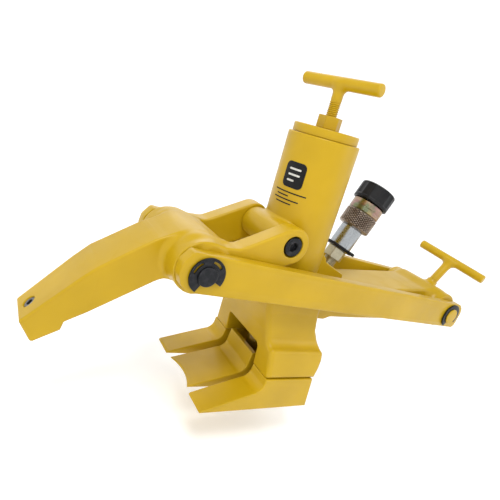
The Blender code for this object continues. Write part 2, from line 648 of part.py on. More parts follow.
def ring_outline(pivot, outer, inner, start, end):
    """Outline of an open ring from start to end in degrees."""
    steps = 24
    return arc(pivot, outer, start, end, steps) + arc(pivot, inner, end, start, steps)


def retaining_rings(black):
    """Split rings in the grooves of both long pins."""
    for name, side in (("near", -1), ("far", 1)):
        low, high = sorted((side * 60.6 * MM, side * 62.2 * MM))
        ring = plate(f"link_pin_ring_{name}", ring_outline(
            LINK_PIVOT, 16.4 * MM, 7.8 * MM, -26, 246), low, high)
        finish_round(set_origin(ring, cross_point(LINK_PIVOT)), black)
        ring = plate(f"rear_pin_ring_{name}", ring_outline(
            REAR_PIVOT, 16.8 * MM, 10 * MM, -30, 248), low, high)
        finish_round(set_origin(ring, cross_point(REAR_PIVOT)), black)


def link_outline():
    """Side outline of a link bar: a chamfered front end, parallel edges and a squarer rear end."""
    run = hypot(REAR_PIVOT[0] - LINK_PIVOT[0], REAR_PIVOT[1] - LINK_PIVOT[1])
    half = LINK_HALF_HEIGHT
    local = [(-10 * MM, -half), (run + 22 * MM, -half), (run + 25 * MM, -half + 3 * MM),
             (run + 25.6 * MM, 6 * MM), (run + 22 * MM, 13 * MM), (run + 15.5 * MM, half), (-17 * MM, half),
             (-23.4 * MM, 7.5 * MM), (-23.8 * MM, -3 * MM), (-19 * MM, -12.5 * MM)]
    slope = atan2(REAR_PIVOT[1] - LINK_PIVOT[1], REAR_PIVOT[0] - LINK_PIVOT[0])
    return [(LINK_PIVOT[0] + s * cos(slope) - t * sin(slope), LINK_PIVOT[1] + s * sin(slope) + t * cos(slope))
            for s, t in local]


def links(paint):
    for name, side in (("near_link", -1), ("far_link", 1)):
        low, high = sorted((side * LINK_INNER, side * LINK_OUTER))
        link = plate(name, link_outline(), low, high)
        cut(link, cross_cylinder("pin_hole", PIN_RADIUS + GAP, -80 * MM, 80 * MM, LINK_PIVOT, SEGMENTS),
            cross_cylinder("pin_hole", REAR_PIN_RADIUS + GAP, -80 * MM, 80 * MM, REAR_PIVOT, SEGMENTS))
        finish_round(set_origin(link, cross_point(LINK_PIVOT)), paint)


def bushes(bronze):
    """Bushes in the arm's hub and in the yoke cheeks."""
    for name, side in (("near", -1), ("far", 1)):
        high, low = sorted((side * 30 * MM, side * (YOKE_OUTER - 0.2 * MM)), reverse=True)
        inner, outer = PIN_RADIUS + 0.2 * MM, PIN_BUSH_RADIUS
        cross_turned(f"hub_bush_{name}", [(inner, high), (outer, high), (outer, low), (inner, low)],
                     LINK_PIVOT, bronze, SEGMENTS, closed=True)
        high, low = sorted((side * (YOKE_INNER + GAP), side * 40 * MM), reverse=True)
        inner, outer = TRUNNION_BOLT_RADIUS + 0.1 * MM, YOKE_BUSH_RADIUS
        cross_turned(f"yoke_bush_{name}", [(inner, high), (outer, high), (outer, low), (inner, low)],
                     ARM_PIVOT, bronze, SEGMENTS, closed=True)


def trunnion_bolts(black):
    """Socket-head shoulder bolts that carry the yoke on the cross tube."""
    head_low = 41 * MM
    for name, turn in (("near", pi), ("far", 0)):
        profile = [(0, 43.5 * MM), (4.6 * MM, 43.5 * MM), (4.6 * MM, BOLT_HEAD_TOP),
                   (BOLT_HEAD_RADIUS - 0.8 * MM, BOLT_HEAD_TOP),
                   (BOLT_HEAD_RADIUS, BOLT_HEAD_TOP - 0.8 * MM), (BOLT_HEAD_RADIUS, head_low),
                   (TRUNNION_BOLT_RADIUS, head_low), (TRUNNION_BOLT_RADIUS, TRUNNION_BOLT_TIP),
                   (0, TRUNNION_BOLT_TIP)]
        bolt = baked(turned(f"trunnion_bolt_{name}", profile, None, SEGMENTS))
        bolt.data.transform(Matrix.Rotation(turn, 4, "Z") @ Matrix.Rotation(-pi / 2, 4, "X"))
        bolt.data.transform(Matrix.Translation(cross_point(ARM_PIVOT)))
        finish_round(set_origin(bolt, cross_point(ARM_PIVOT)), black)


def rear_lug(paint):
    """Welded block behind the barrel: its top takes the coupler's nipple, its foot is the lever's pivot."""
    outline = [(34 * MM, 168 * MM), (44 * MM, 161 * MM), (47 * MM, 155.5 * MM), (80 * MM, 140.5 * MM),
               (81.5 * MM, 131 * MM)] + arc((LEVER_LOCAL[0], LEVER_LOCAL[1]), 12.5 * MM, 10, -140, 10)
    outline += [(39 * MM, 121 * MM), (39 * MM, 129 * MM), (34 * MM, 129 * MM)]
    lug = plate("rear_lug", [along_ram(point) for point in outline], -LUG_HALF_WIDTH, LUG_HALF_WIDTH)
    cut(lug, ram_cylinder("barrel_room", BARREL_RADIUS + GAP, 100 * MM, 260 * MM, 64),
        cross_cylinder("pivot_hole", LEVER_PIN_RADIUS + 0.1 * MM, -30 * MM, 30 * MM, LEVER_PIVOT, SEGMENTS),
        mesh_object("port", cylinder_mesh(8 * MM + GAP, -9 * MM, 20 * MM, sides=SEGMENTS), COUPLER_FRAME))
    return finish_round(lug, paint)


def lever_outline():
    """Side outline of the lever's web, from its heel by the housing to the rear hub."""
    bottom = [(59.8 * MM, 104 * MM), (61.5 * MM, 98.5 * MM), (66 * MM, 95.6 * MM), (73 * MM, 95.6 * MM),
              (81 * MM, 99.5 * MM), (119 * MM, 101.5 * MM), (250 * MM, 110 * MM)]
    hub = [(REAR_PIVOT[0], REAR_PIVOT[1] - 20 * MM), (REAR_PIVOT[0], REAR_PIVOT[1] + 20 * MM)]
    top = [(268 * MM, 161.6 * MM), (84 * MM, 137.4 * MM), (66 * MM, 135 * MM), (60.4 * MM, 130 * MM)]
    return bottom + hub + top


def rear_lever(paint):
    """Forked lever with the cross hub of the rear pivot, whose bore is wide enough for the links' swing."""
    lever = plate("rear_lever", lever_outline(), -LEVER_HALF_WIDTH, LEVER_HALF_WIDTH)
    hub_end = YOKE_OUTER + 0.4 * MM
    join(lever, cross_cylinder("hub", REAR_HUB_RADIUS, -hub_end, hub_end, REAR_PIVOT, SEGMENTS))
    boss = turned("boss", [(0, 33 * MM), (7 * MM, 33 * MM), (9.6 * MM, 28 * MM), (9.6 * MM, 16 * MM),
                           (0, 16 * MM)],
                  HANDLE_FRAME, SEGMENTS)
    join(lever, baked(boss))
    fork_low, fork_high = (40 * MM, -LEVER_FORK_HALF_GAP, 60 * MM), (104 * MM, LEVER_FORK_HALF_GAP, 170 * MM)
    cut(lever, box("fork", fork_low, fork_high),
        cross_cylinder("pin_room", REAR_HUB_BORE, -80 * MM, 80 * MM, REAR_PIVOT, SEGMENTS),
        cross_cylinder("pivot_hole", LEVER_PIN_RADIUS + 0.1 * MM, -60 * MM, 60 * MM, LEVER_PIVOT, SEGMENTS))
    return finish_round(set_origin(lever, cross_point(LEVER_PIVOT)), paint)


def rear_handle(paint):
    """Grip on the lever: a flared stem and a cross bar."""
    reach = HANDLE_HEIGHT - HANDLE_RADIUS - GAP
    stem = turned("rear_handle_stem", [
        (0, reach), (HANDLE_RADIUS + 2.5 * MM, reach), (HANDLE_RADIUS, reach - 5 * MM),
        (HANDLE_RADIUS, 36 * MM), (6.9 * MM, 33 * MM + GAP), (0, 33 * MM + GAP)], HANDLE_FRAME, SEGMENTS)
    finish_round(baked(stem), paint)
    bar = cylinder_mesh(HANDLE_RADIUS, -HANDLE_BAR_HALF_LENGTH, HANDLE_BAR_HALF_LENGTH, sides=20, axis="Y")
    bar.transform(Matrix.Translation((0, 0, HANDLE_HEIGHT)) @ Matrix.Rotation(HANDLE_BAR_TURN, 4, "Z"))
    finish_round(mesh_object("rear_handle_bar", bar, HANDLE_FRAME), paint)


def lever_pin(steel, black):
    """Pin through the lug and the lever's fork, with a clip washer at each end."""
    end = 34 * MM
    profile = [(0, end), (LEVER_PIN_RADIUS, end), (LEVER_PIN_RADIUS, -end), (0, -end)]
    cross_turned("lever_pin", profile, LEVER_PIVOT, steel, SEGMENTS)
    for name, side in (("near", -1), ("far", 1)):
        high, low = sorted((side * 30.5 * MM, side * 32 * MM), reverse=True)
        inner, outer = LEVER_PIN_RADIUS + 0.15 * MM, 10 * MM
        cross_turned(f"lever_pin_clip_{name}", [(inner, high), (outer, high), (outer, low), (inner, low)],
                     LEVER_PIVOT, black, SEGMENTS, closed=True)


def coupler(zinc, steel, brown, gold, black, rubber):
    """Screw coupler: nipple, strap ring, body and poppet, knurled sleeve, lock band and dust cap."""
    nipple = mesh_object("coupler_nipple", cylinder_mesh(12 * MM, 9 * MM, 22 * MM, sides=6), COUPLER_FRAME)
    join(nipple, mesh_object("thread", cylinder_mesh(7.9 * MM, -8 * MM, 10 * MM), COUPLER_FRAME))
    cut(nipple, mesh_object("way", cylinder_mesh(4.5 * MM, -20 * MM, 40 * MM, sides=20), COUPLER_FRAME))
    finish_round(nipple, zinc)
    strap = turned("cap_strap_ring", [(13.7 * MM, 26 * MM), (16.6 * MM, 26 * MM), (16.6 * MM, 22.4 * MM),
                                      (13.7 * MM, 22.4 * MM)], COUPLER_FRAME, SEGMENTS, closed=True)
    strap = baked(strap)
    join(strap, box("tab", (-4 * MM, -25 * MM, 22.6 * MM), (4 * MM, -16 * MM, 25.8 * MM), COUPLER_FRAME))
    finish_round(strap, rubber)
    body = turned("coupler_body", [
        (8 * MM, 96 * MM), (12.6 * MM, 96 * MM), (12.6 * MM, 51 * MM), (13.3 * MM, 51 * MM),
        (13.3 * MM, 22.4 * MM),
        (4.5 * MM, 22.4 * MM), (4.5 * MM, 60 * MM), (8 * MM, 64 * MM)], COUPLER_FRAME, SEGMENTS, closed=True)
    finish_round(baked(body), steel)
    poppet = turned("coupler_poppet", [
        (0, 94 * MM), (4 * MM, 94 * MM), (7.7 * MM, 86 * MM), (7.7 * MM, 72 * MM), (3.5 * MM, 70 * MM),
        (0, 70 * MM)], COUPLER_FRAME, SEGMENTS)
    finish_round(baked(poppet), zinc)
    sleeve = turned("coupler_sleeve", [
        (12.9 * MM, 71.6 * MM), (18.2 * MM, 71.6 * MM), (19 * MM, 70.6 * MM), (19 * MM, 53.4 * MM),
        (18 * MM, 52.4 * MM), (13.7 * MM, 52.4 * MM), (12.9 * MM, 54 * MM)],
        COUPLER_FRAME, SEGMENTS, closed=True)
    finish_round(baked(sleeve), brown)
    band = turned("coupler_lock_band", [
        (12.9 * MM, 85.2 * MM), (17.9 * MM, 85.2 * MM), (18.7 * MM, 84 * MM), (18.7 * MM, 71.9 * MM),
        (12.9 * MM, 71.9 * MM)], COUPLER_FRAME, SEGMENTS, closed=True)
    finish_round(baked(band), gold)
    cap = turned("dust_cap", [
        (0, 101 * MM), (18 * MM, 101 * MM), (18 * MM, 85.6 * MM), (20.8 * MM, 85.6 * MM),
        (21.6 * MM, 87 * MM), (21.6 * MM, 103 * MM), (20.2 * MM, 105.5 * MM), (0, 106 * MM)][::-1],
        COUPLER_FRAME, SEGMENTS)
    finish_round(baked(cap), black)


LEVER_LOCAL = ((LEVER_PIVOT[0] - AXIS_X) * cos(TILT) + LEVER_PIVOT[1] * sin(TILT),
               -(LEVER_PIVOT[0] - AXIS_X) * sin(TILT) + LEVER_PIVOT[1] * cos(TILT))


def build():
    paint = material("yellow_paint", YELLOW, 0.0, 0.38)
    black = material("black_oxide", BLACK, 0.6, 0.45)
    steel = material("plain_steel", STEEL, 1.0, 0.35)
    chrome = material("chrome_rod", (0.8, 0.8, 0.82), 1.0, 0.12)
    bronze = material("bronze", (0.6, 0.42, 0.2), 1.0, 0.35)
    rubber = material("rubber", (0.02, 0.02, 0.02), 0.0, 0.7)
    zinc = material("yellow_zinc", (0.62, 0.55, 0.35), 1.0, 0.35)
    brown = material("knurled_zinc", (0.35, 0.28, 0.2), 1.0, 0.45)
    gold = material("passivated_zinc", (0.66, 0.5, 0.3), 1.0, 0.3)
    plastic = material("black_plastic", (0.02, 0.02, 0.022), 0.0, 0.5)

    cylinder_barrel(paint)
    trunnion_tube(paint)
    barrel_end_cap(paint)
    hex_bushing(paint)
    clamp_screw(paint)
    swivel_pad(steel)
    ram(chrome, steel, rubber, bronze)
    rod_gland(bronze, rubber)
    return_spring(steel)
    claw_block(paint)
    claw_bolts(black)
    foot_housing(paint)
    push_foot(paint, black)
    clamp_arm(paint)
    arm_set_screw(black)
    grooved_pin("link_pin", PIN_RADIUS, 7.4 * MM, LINK_PIVOT, black)
    grooved_pin("rear_pin", REAR_PIN_RADIUS, 9.6 * MM, REAR_PIVOT, paint)
    retaining_rings(black)
    links(paint)
    bushes(bronze)
    trunnion_bolts(black)
    rear_lug(paint)
    rear_lever(paint)
    rear_handle(paint)
    lever_pin(steel, black)
    coupler(zinc, steel, brown, gold, plastic, rubber)


def place_at_mid_length():
    """Moves the whole so that the origin is on the ground under the middle of its length."""
    for obj in PARTS.objects:
        if obj.parent is None:
            obj.location.x -= MID_LENGTH_X


build()
place_at_mid_length()
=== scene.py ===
"""Looks of the hydraulic tyre bead breaker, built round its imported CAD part."""

from math import atan2, cos, hypot, pi, radians, sin, tan

import bmesh
import bpy
import numpy as np
from mathutils import Matrix, Vector


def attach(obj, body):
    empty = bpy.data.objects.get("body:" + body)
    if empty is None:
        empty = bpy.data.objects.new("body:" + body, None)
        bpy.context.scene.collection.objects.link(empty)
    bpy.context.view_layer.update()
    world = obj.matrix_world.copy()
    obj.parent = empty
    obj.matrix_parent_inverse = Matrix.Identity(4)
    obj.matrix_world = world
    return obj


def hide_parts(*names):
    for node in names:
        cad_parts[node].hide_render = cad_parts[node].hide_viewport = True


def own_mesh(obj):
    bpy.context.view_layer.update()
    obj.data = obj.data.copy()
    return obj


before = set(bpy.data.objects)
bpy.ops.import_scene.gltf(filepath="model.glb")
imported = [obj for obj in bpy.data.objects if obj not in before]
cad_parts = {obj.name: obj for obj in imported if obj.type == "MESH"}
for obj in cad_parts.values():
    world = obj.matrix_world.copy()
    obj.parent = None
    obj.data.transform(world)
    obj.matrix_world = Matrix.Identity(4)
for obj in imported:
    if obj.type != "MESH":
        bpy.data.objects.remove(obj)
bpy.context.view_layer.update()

# Drawn in millimetres. X is drawn from the middle of the claw, and the part's own X from mid-length.
MM = 0.001
MID_LENGTH_X = 46.6
COARSE = 1.0
SIDES = (("near", -1), ("far", 1))

TILT = radians(7.6)
AXIS_X = 30.7
ARM_PIVOT = (-29.3, 177.1)
LINK_PIVOT = (-116.5, 140.8)
REAR_PIVOT = (276.0, 137.4)
LEVER_PIVOT = (82.0, 124.0)
BARREL_RADIUS = 36.5
BARREL_BORE = 27.5
BARREL_BOTTOM = 128.3
BARREL_TOP = 284.6
CLAW_TOP = 37.5
FOOT_TOP = 128
LINK_INSIDE, LINK_OUTSIDE = 48, 60
SLOT_END = 22.5     # how far behind the ram's axis the push foot's slot ends
CLAW_BOLTS = ((14, 48), (14, -48), (46, 48), (46, -48))
BOLT_HOLE, BOLT_HEAD_HOLE = 5.3, 8.6
BAR_RADIUS = 6


def placed_at(point, turn, axis="Y"):
    """A frame at a point, turned about one axis."""
    return Matrix.Translation(point) @ Matrix.Rotation(turn, 4, axis)


def cross_frame(pivot):
    """A frame whose Z axis runs along +Y through the pivot, and whose X axis stays +X."""
    return placed_at((pivot[0], 0, pivot[1]), -pi / 2, "X")


IDENTITY = Matrix.Identity(4)
RAM = placed_at((AXIS_X, 0, 0), -TILT)
COUPLER = RAM @ placed_at((63, 0, 148), radians(23.4))
HANDLE = placed_at((REAR_PIVOT[0], -6, REAR_PIVOT[1]), radians(28.5))
GRIP_SCREW = placed_at((-227.8, 0, 70.2), atan2(0.797, -0.603))


def along_ram(x, height):
    """(X, Z) of a point given by its offset from the ram's axis and its height along it."""
    return (AXIS_X + x * cos(TILT) - height * sin(TILT), x * sin(TILT) + height * cos(TILT))


# -------------------------------- objects

def add(name, mesh, body, nodes, finish):
    """Links a mesh as a piece on a body, standing for CAD nodes. Its finish is (material, slot); the slot is
    not used.
    """
    material, slot = finish
    obj = bpy.data.objects.new(name, mesh)
    bpy.context.scene.collection.objects.link(obj)
    mesh.materials.clear()
    mesh.materials.append(material)
    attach(obj, body)
    if nodes:
        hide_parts(*nodes)
    return obj


def mesh_from(points, quads):
    """A smooth mesh from arrays of drawn points and of quads."""
    placed = (points - (MID_LENGTH_X, 0, 0)) * MM
    count, sides = quads.shape
    mesh = bpy.data.meshes.new("mesh")
    mesh.vertices.add(len(placed))
    mesh.vertices.foreach_set("co", placed.astype(np.float32).ravel())
    mesh.loops.add(count * sides)
    mesh.loops.foreach_set("vertex_index", quads.astype(np.int32).ravel())
    mesh.polygons.add(count)
    mesh.polygons.foreach_set("loop_start", np.arange(0, count * sides, sides, dtype=np.int32))
    mesh.polygons.foreach_set("use_smooth", np.ones(count, bool))
    mesh.update(calc_edges=True)
    return mesh


def from_bmesh(bm, matrix, angle=32):
    """A mesh from a bmesh drawn in millimetres in a frame, smooth except at edges over the angle."""
    bm.transform(matrix)
    bmesh.ops.translate(bm, verts=bm.verts, vec=(-MID_LENGTH_X, 0, 0))
    bmesh.ops.scale(bm, verts=bm.verts, vec=(MM, MM, MM))
    bmesh.ops.recalc_face_normals(bm, faces=bm.faces)
    mesh = bpy.data.meshes.new("mesh")
    bm.to_mesh(mesh)
    bm.free()
    mesh.shade_smooth()
    mesh.set_sharp_from_angle(angle=radians(angle))
    return mesh


def evaluated(data, ratio=None):
    """The mesh that a curve or a mesh gives, thinned to a share of its faces where a ratio is given."""
    obj = bpy.data.objects.new("work", data)
    bpy.context.scene.collection.objects.link(obj)
    if ratio:
        obj.modifiers.new("thinned", "DECIMATE").ratio = ratio
    bpy.context.view_layer.update()
    made = bpy.data.meshes.new_from_object(obj.evaluated_get(bpy.context.evaluated_depsgraph_get()))
    bpy.data.objects.remove(obj)
    return made


def rounded(corners, steps=6):
    """An outline whose corners are arcs. Each corner is (x, z) or (x, z, radius)."""
    points = []
    count = len(corners)
    for i, corner in enumerate(corners):
        here = Vector(corner[:2])
        radius = corner[2] if len(corner) > 2 else 0
        if not radius:
            points.append(tuple(here))
            continue
        before = (Vector(corners[i - 1][:2]) - here).normalized()
        after = (Vector(corners[(i + 1) % count][:2]) - here).normalized()
        half = before.angle(after) / 2
        centre = here + (before + after).normalized() * (radius / sin(half))
        start, end = here + before * (radius / tan(half)), here + after * (radius / tan(half))
        a0 = atan2(start.y - centre.y, start.x - centre.x)
        turn = (atan2(end.y - centre.y, end.x - centre.x) - a0 + pi) % (2 * pi) - pi
        pieces = max(2, int(steps * abs(turn) / radians(60)) + 1)
        for k in range(pieces + 1):
            a = a0 + turn * k / pieces
            points.append((centre.x + radius * cos(a), centre.y + radius * sin(a)))
    return points


def circle(centre, radius, steps=48, start=0, end=360):
    """Points of a circle, or of an arc from one angle to another."""
    angles = [radians(start + (end - start) * k / steps) for k in range(steps + (abs(end - start) < 360))]
    return [(centre[0] + radius * cos(a), centre[1] + radius * sin(a)) for a in angles]


def spokes(sides):
    """The angles of equal steps round a circle."""
    return [2 * pi * k / sides for k in range(sides)]


def ring(bm, radius, height, angles):
    """Vertices round the Z axis, at one radius or at one for each angle."""
    radii = np.broadcast_to(radius, len(angles))
    return [bm.verts.new((r * cos(a), r * sin(a), height)) for r, a in zip(radii, angles)]


def bridge(bm, *rings):
    """Faces from each ring to the next. A ring may be a single vertex."""
    for first, second in zip(rings, rings[1:]):
        count = max(len(first), len(second))
        for k in range(count):
            n = (k + 1) % count
            corners = list(dict.fromkeys((first[k % len(first)], first[n % len(first)],
                                          second[n % len(second)], second[k % len(second)])))
            if len(corners) > 2:
                bm.faces.new(corners)


def turned(profile, matrix, sides, closed=False):
    """A mesh turned about a frame's Z axis, from (radius, height) or (radius, height, corner radius)."""
    bm = bmesh.new()
    rings = [ring(bm, radius, height, spokes(sides) if radius > 1e-6 else [0])
             for radius, height in rounded(profile, 4)]
    bridge(bm, *rings, *(rings[:1] if closed else ()))
    return from_bmesh(bm, matrix)


def plate(outline, low, high, bevel, holes=(), steps=3):
    """A flat piece: an outline of (X, Z) points, thick along Y from low to high, with rounded edges."""
    curve = bpy.data.curves.new("plate", "CURVE")
    curve.dimensions = "2D"
    curve.fill_mode = "BOTH"
    curve.extrude = ((high - low) / 2 - bevel) * MM
    curve.bevel_depth = bevel * MM
    curve.bevel_resolution = steps
    curve.offset = -bevel * MM
    for points in (outline, *holes):
        spline = curve.splines.new("POLY")
        spline.points.add(len(points) - 1)
        for point, (x, z) in zip(spline.points, points):
            point.co = (x * MM, z * MM, 0, 1)
        spline.use_cyclic_u = True
    bm = bmesh.new()
    bm.from_mesh(evaluated(curve))
    bmesh.ops.remove_doubles(bm, verts=bm.verts, dist=0.002 * MM)
    bmesh.ops.scale(bm, verts=bm.verts, vec=(1 / MM, 1 / MM, 1 / MM))
    return from_bmesh(bm, placed_at((0, (low + high) / 2, 0), pi / 2, "X"), 40)


# -------------------------------- cast shapes from distance fields

def norm(u, v):
    """How far (u, v) is from the origin."""
    return np.sqrt(u ** 2 + v ** 2)


class Field:
    """A sampled box of space, in millimetres of a frame, for shapes given by their distance fields."""

    def __init__(self, low, high, step, matrix=IDENTITY):
        self.step = step * COARSE
        self.low = np.array(low, float)
        counts = np.ceil((np.array(high, float) - self.low) / self.step).astype(int) + 1
        self.x, self.y, self.z = np.ix_(*(self.low[i] + self.step * np.arange(counts[i]) for i in range(3)))
        self.matrix = matrix

    def outline(self, points, u=None, v=None):
        """Distance to a closed outline in the (u, v) plane, X and Z when not given, negative inside."""
        u = self.x if u is None else u
        v = self.z if v is None else v
        points = np.array(points, float)
        best, crossed = np.inf, False
        for a, b in zip(points, np.roll(points, -1, axis=0)):
            eu, ev = b - a
            wu, wv = u - a[0], v - a[1]
            t = np.clip((wu * eu + wv * ev) / max(eu * eu + ev * ev, 1e-12), 0, 1)
            gap = (wu - t * eu) ** 2 + (wv - t * ev) ** 2
            best = np.minimum(best, gap)
            up = (v >= a[1]) & (v < b[1]) & (eu * wv - ev * wu > 0)
            down = (v < a[1]) & (v >= b[1]) & (eu * wv - ev * wu < 0)
            crossed = crossed ^ (up | down)
        return np.where(crossed, -1, 1) * np.sqrt(best)

    def rod(self, pivot, radius):
        """Distance to an endless cylinder along Y."""
        return norm(self.x - pivot[0], self.z - pivot[1]) - radius

    def shaft(self, matrix, radius):
        """Distance to an endless cylinder along another frame's Z axis."""
        return norm(*self.local(matrix)[:2]) - radius

    def local(self, matrix):
        """Coordinates of every sample in another frame."""
        m = np.array(matrix.inverted() @ self.matrix)
        return [m[i, 0] * self.x + m[i, 1] * self.y + m[i, 2] * self.z + m[i, 3] for i in range(3)]

    def mesh(self, field, ratio):
        """The zero surface as a mesh: pulled onto the surface, thinned, with the field's own normals."""
        field = np.broadcast_to(field, (self.x.size, self.y.size, self.z.size)).astype(np.float32)
        field = np.ascontiguousarray(field)
        for end in (0, -1):
            for edge in (np.s_[end], np.s_[:, end], np.s_[:, :, end]):
                field[edge] = np.maximum(field[edge], 0.2 * self.step)
        points, quads = surface_nets(field)
        for _ in range(2):
            points = pulled(field, points)
        mesh = evaluated(mesh_from(self.placed(points), quads), ratio)
        found = np.empty(len(mesh.vertices) * 3)
        mesh.vertices.foreach_get("co", found)
        grid = self.unplaced(found.reshape(-1, 3))
        normals = gradient(field, grid) @ np.array(self.matrix.to_3x3()).T
        normals = normals / np.maximum(np.linalg.norm(normals, axis=1, keepdims=True), 1e-9)
        mesh.shade_smooth()
        mesh.normals_split_custom_set_from_vertices(normals.tolist())
        return mesh

    def placed(self, grid):
        """Drawn points from grid indices."""
        local = grid * self.step + self.low
        m = np.array(self.matrix)
        return local @ m[:3, :3].T + m[:3, 3]

    def unplaced(self, points):
        """Grid indices from mesh points in metres."""
        drawn = points / MM + (MID_LENGTH_X, 0, 0)
        m = np.array(self.matrix.inverted())
        return (drawn @ m[:3, :3].T + m[:3, 3] - self.low) / self.step


CORNERS = list(np.ndindex(2, 2, 2))


def sampled(field, points):
    """The field at points given in grid indices."""
    top = np.array(field.shape) - 1.001
    points = np.clip(points, 0, top)
    base = points.astype(int)
    part = points - base
    value = 0
    for corner in CORNERS:
        weight = np.prod(np.where(corner, part, 1 - part), axis=1)
        value = value + weight * field[tuple((base + corner).T)]
    return value


def gradient(field, points):
    """Slope of the field at points given in grid indices."""
    reach = 0.6
    slopes = []
    for axis in range(3):
        shift = np.zeros(3)
        shift[axis] = reach
        slopes.append((sampled(field, points + shift) - sampled(field, points - shift)) / (2 * reach))
    return np.stack(slopes, axis=1)


def pulled(field, points):
    """Points moved onto the zero surface along the slope, at most half a cell."""
    slope = gradient(field, points)
    size = np.maximum((slope ** 2).sum(axis=1), 1e-12)
    move = -(sampled(field, points) / size)[:, None] * slope
    length = np.linalg.norm(move, axis=1, keepdims=True)
    return points + move * np.minimum(1, 0.5 / np.maximum(length, 1e-9))


def surface_nets(field):
    """Points, in grid indices, and quads of the zero surface of a field that is negative inside."""
    inside = field < 0
    nx, ny, nz = field.shape
    total = np.zeros((nx - 1, ny - 1, nz - 1), np.int8)
    for i, j, k in CORNERS:
        total += inside[i:nx - 1 + i, j:ny - 1 + j, k:nz - 1 + k]
    cells = np.argwhere((total > 0) & (total < 8))
    index = np.full(total.shape, -1, np.int32)
    index[tuple(cells.T)] = np.arange(len(cells))
    summed = np.zeros((len(cells), 3))
    count = np.zeros(len(cells))
    for corner in CORNERS:
        for axis in range(3):
            if corner[axis]:
                continue
            a = cells + corner
            b = a.copy()
            b[:, axis] += 1
            fa, fb = field[tuple(a.T)], field[tuple(b.T)]
            mixed = (fa < 0) != (fb < 0)
            cross = a[mixed].astype(float)
            cross[:, axis] += fa[mixed] / (fa[mixed] - fb[mixed])
            summed[mixed] += cross
            count[mixed] += 1
    points = summed / count[:, None]
    quads = []
    for axis in range(3):
        one, two = (axis + 1) % 3, (axis + 2) % 3
        low = [slice(1, -1)] * 3
        high = [slice(1, -1)] * 3
        low[axis], high[axis] = slice(None, -1), slice(1, None)
        starts = inside[tuple(low)]
        found = np.argwhere(starts != inside[tuple(high)])
        outward = starts[tuple(found.T)]
        base = found + 1
        base[:, axis] -= 1
        ring = []
        for a, b in ((1, 1), (0, 1), (0, 0), (1, 0)):
            cell = base.copy()
            cell[:, one] -= a
            cell[:, two] -= b
            ring.append(index[tuple(cell.T)])
        quad = np.stack(ring, axis=1)
        quad[~outward] = quad[~outward][:, ::-1]
        quads.append(quad)
    return points, np.concatenate(quads)


def slab(value, half, middle=0):
    """Distance to the space within half of the middle."""
    return np.abs(value - middle) - half


def block(a, b, radius):
    """What two distances have in common, with the edge between them rounded."""
    corner = norm(np.maximum(radius + a, 0), np.maximum(radius + b, 0))
    return np.minimum(-radius, np.maximum(a, b)) + corner


def blend(a, b, radius):
    """Two distances joined, with a fillet between them."""
    corner = norm(np.maximum(radius - a, 0), np.maximum(radius - b, 0))
    return np.maximum(radius, np.minimum(a, b)) - corner


def carve(a, b, radius):
    """The first distance with the second cut out of it, and the edge rounded."""
    return block(a, -b, radius)


# -------------------------------- materials

class Nodes:
    """Short names for building a node material."""

    def __init__(self, name):
        self.material = bpy.data.materials.new(name)
        self.material.use_nodes = True
        self.tree = self.material.node_tree
        self.shader = self.tree.nodes["Principled BSDF"]
        self.coordinates = self.tree.nodes.new("ShaderNodeTexCoord").outputs["Object"]

    def feed(self, socket, value):
        """Links another socket to a socket, or sets its value."""
        if isinstance(value, bpy.types.NodeSocket):
            self.tree.links.new(value, socket)
        else:
            socket.default_value = (*value, 1) if socket.type == "RGBA" else value

    def node(self, kind, inputs=(), **settings):
        made = self.tree.nodes.new(kind)
        for key, value in settings.items():
            setattr(made, key, value)
        for key, value in dict(inputs).items():
            self.feed(made.inputs[key], value)
        return made

    def noise(self, scale, detail=3, rough=0.5, vector=None):
        return self.node("ShaderNodeTexNoise", {"Vector": vector or self.coordinates, "Scale": scale,
                                                "Detail": detail, "Roughness": rough}).outputs["Fac"]

    def ramp(self, value, low, high, start=0.0, end=1.0):
        """A value mapped from low..high to start..end, held at both ends."""
        return self.node("ShaderNodeMapRange", {"Value": value, "From Min": low, "From Max": high,
                                                "To Min": start, "To Max": end}).outputs["Result"]

    def mix(self, factor, first, second):
        made = self.node("ShaderNodeMix", data_type="RGBA")
        for key, value in (("Factor", factor), ("A", first), ("B", second)):
            self.feed(next(s for s in made.inputs if s.name == key and s.enabled), value)
        return next(s for s in made.outputs if s.enabled)

    def math(self, operation, a, b):
        return self.node("ShaderNodeMath", {0: a, 1: b}, operation=operation).outputs[0]

    def bump(self, height, strength, distance):
        made = self.node("ShaderNodeBump", {"Height": height, "Strength": strength, "Distance": distance})
        self.tree.links.new(made.outputs["Normal"], self.shader.inputs["Normal"])

    def set(self, **values):
        """Sets the shader's inputs, named with underscores for spaces."""
        for key, value in values.items():
            self.feed(self.shader.inputs[key.replace("_", " ")], value)


